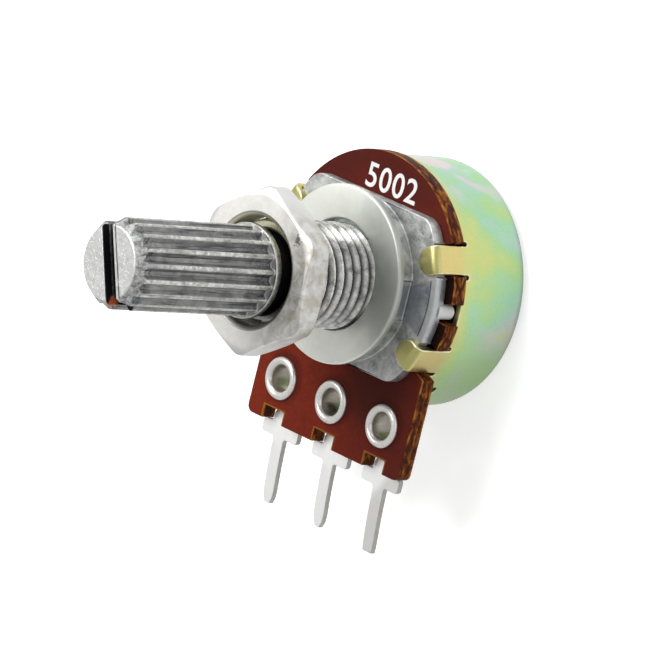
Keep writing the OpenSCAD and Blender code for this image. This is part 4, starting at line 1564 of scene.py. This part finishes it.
@dataclass
class Works:
    """The parts inside the cover, which keep the frame's own meshes."""

    palette: Palette

    def dress(self) -> None:
        """Give each inner node its finish."""
        finishes = {
            "resistive_track": self.palette.carbon, "end_contact_left": self.palette.silver,
            "end_contact_right": self.palette.silver, "collector_track": self.palette.silver,
            "rotor": self.palette.phenolic, "wiper": self.palette.bronze,
            "retaining_clip": self.palette.spring}
        for name, material in finishes.items():
            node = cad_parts[name]
            for slot in node.material_slots:
                slot.material = material
            log.info("%s: dressed in %s", name, material.name)


@dataclass
class Studio:
    """Camera, lamps, floor and world."""

    azimuth: float = 105.8018
    elevation: float = 44.2195
    roll: float = -87.266
    aim: float = 9.2
    distance: float = 400.0
    field: float = 42.247
    shift_right: float = -0.9812
    shift_up: float = -3.2060

    def axes(self) -> tuple[Vector, Vector, Vector]:
        """Directions back to the camera, right and up in the picture."""
        a, e, t = (math.radians(v) for v in (self.azimuth, self.elevation, self.roll))
        back = Vector((math.sin(a) * math.cos(e), -math.cos(a) * math.cos(e), math.sin(e)))
        right = Vector((math.cos(a), math.sin(a), 0.0))
        up = back.cross(right)
        turned = right * math.cos(t) + up * math.sin(t)
        return back, turned, up * math.cos(t) - right * math.sin(t)

    def build(self) -> None:
        """Set the scene."""
        bpy.context.scene.view_settings.view_transform = "Standard"
        self._camera()
        self._lamps()
        self._floor()
        self._world()
        log.info("studio: camera, lamps, floor and world")

    def _camera(self) -> None:
        """Put the camera where the photograph was taken from."""
        back, right, up = self.axes()
        Bench.clear()
        bpy.ops.object.camera_add()
        camera = bpy.context.object
        place = Vector((0, 0, self.aim)) + back * self.distance
        place += right * self.shift_right + up * self.shift_up
        turn = Matrix((right, up, back)).transposed().to_4x4()
        camera.matrix_world = Matrix.Translation(place * MM) @ turn
        camera.data.sensor_width = 36.0
        camera.data.lens = 36.0 * self.distance / self.field
        camera.data.clip_start = 0.01
        camera.data.clip_end = 10.0
        bpy.context.scene.camera = camera

    def _lamp(self, name: str, toward: Vector, reach: float, size: float, power: float) -> None:
        """Hang one square soft lamp.

        Args:
            name: name of the lamp.
            toward: direction from the object to the lamp.
            reach: distance in metres.
            size: side of the lamp in metres.
            power: power in watts.
        """
        Bench.clear()
        target = Vector((0, 0, 14)) * MM
        spot = target + toward.normalized() * reach
        bpy.ops.object.light_add(type="AREA", location=spot)
        lamp = bpy.context.object
        lamp.name = name
        lamp.data.size = size
        lamp.data.energy = power
        lamp.rotation_mode = "QUATERNION"
        lamp.rotation_quaternion = toward.to_track_quat("Z", "Y")

    def _lamps(self) -> None:
        """Key from the picture's upper left, a soft fill and a low rim."""
        back, right, up = self.axes()
        self._lamp("key", back * 0.55 - right * 0.85 + up * 0.6, 0.5, 0.28, 1.8)
        self._lamp("fill", back * 0.9 + right * 0.5 + up * 0.1, 0.6, 0.4, 0.35)
        self._lamp("top", up * 0.95 + back * 0.35 - right * 0.1, 0.5, 0.25, 0.55)

    def _floor(self) -> None:
        """White floor that shows white to the eye and keeps the shadow."""
        Bench.clear()
        bpy.ops.mesh.primitive_plane_add(size=3.0, location=(0, 0, -0.00002))
        floor = bpy.context.object
        floor.name = "floor"
        material = bpy.data.materials.new("floor")
        material.use_nodes = True
        g = Graph(material.node_tree)
        g.tree.nodes.remove(g.tree.nodes["Principled BSDF"])
        eye, glossy, through = self._rays(g)
        seen = (eye + glossy + through).held()
        matt = g.add("BsdfDiffuse", {"Color": (0.8, 0.8, 0.8)})
        glow = g.add("Emission", {"Color": (1.0, 1.0, 1.0), "Strength": seen * 0.36 + eye * 0.21})
        both = g.add("AddShader", {0: matt.outputs[0], 1: glow.outputs[0]})
        g.tree.links.new(both.outputs[0], g.tree.nodes["Material Output"].inputs[0])
        floor.data.materials.append(material)

    @staticmethod
    def _rays(g: Graph) -> tuple[Signal, Signal, Signal]:
        """One for camera, glossy and transmission rays, each."""
        path = g.add("LightPath")
        kinds = ("Camera", "Glossy", "Transmission")
        eye, glossy, through = (Signal(g, path.outputs[f"Is {kind} Ray"]) for kind in kinds)
        return eye, glossy, through

    def _world(self) -> None:
        """Even white light all round, plain white to the eye."""
        world = bpy.data.worlds.new("studio")
        bpy.context.scene.world = world
        world.use_nodes = True
        g = Graph(world.node_tree)
        eye, glossy, through = self._rays(g)
        level = eye * 0.55 + 0.45 + (glossy + through).held() * 0.2
        background = world.node_tree.nodes["Background"]
        background.inputs["Color"].default_value = (1.0, 1.0, 1.0, 1.0)
        g.tree.links.new(level.socket, background.inputs["Strength"])


def main() -> None:
    """Build the object piece by piece, then its studio."""
    logging.basicConfig(level=logging.INFO, format="%(name)s: %(message)s")
    palette = Palette()
    Cover(palette).build()
    Board(palette).build()
    BushingPlate(palette).build()
    Hardware(palette).build()
    Shaft(palette).build()
    Terminals(palette).build()
    Works(palette).dress()
    Studio().build()
    Bench.clear()


if __name__ == "__main__":
    main()
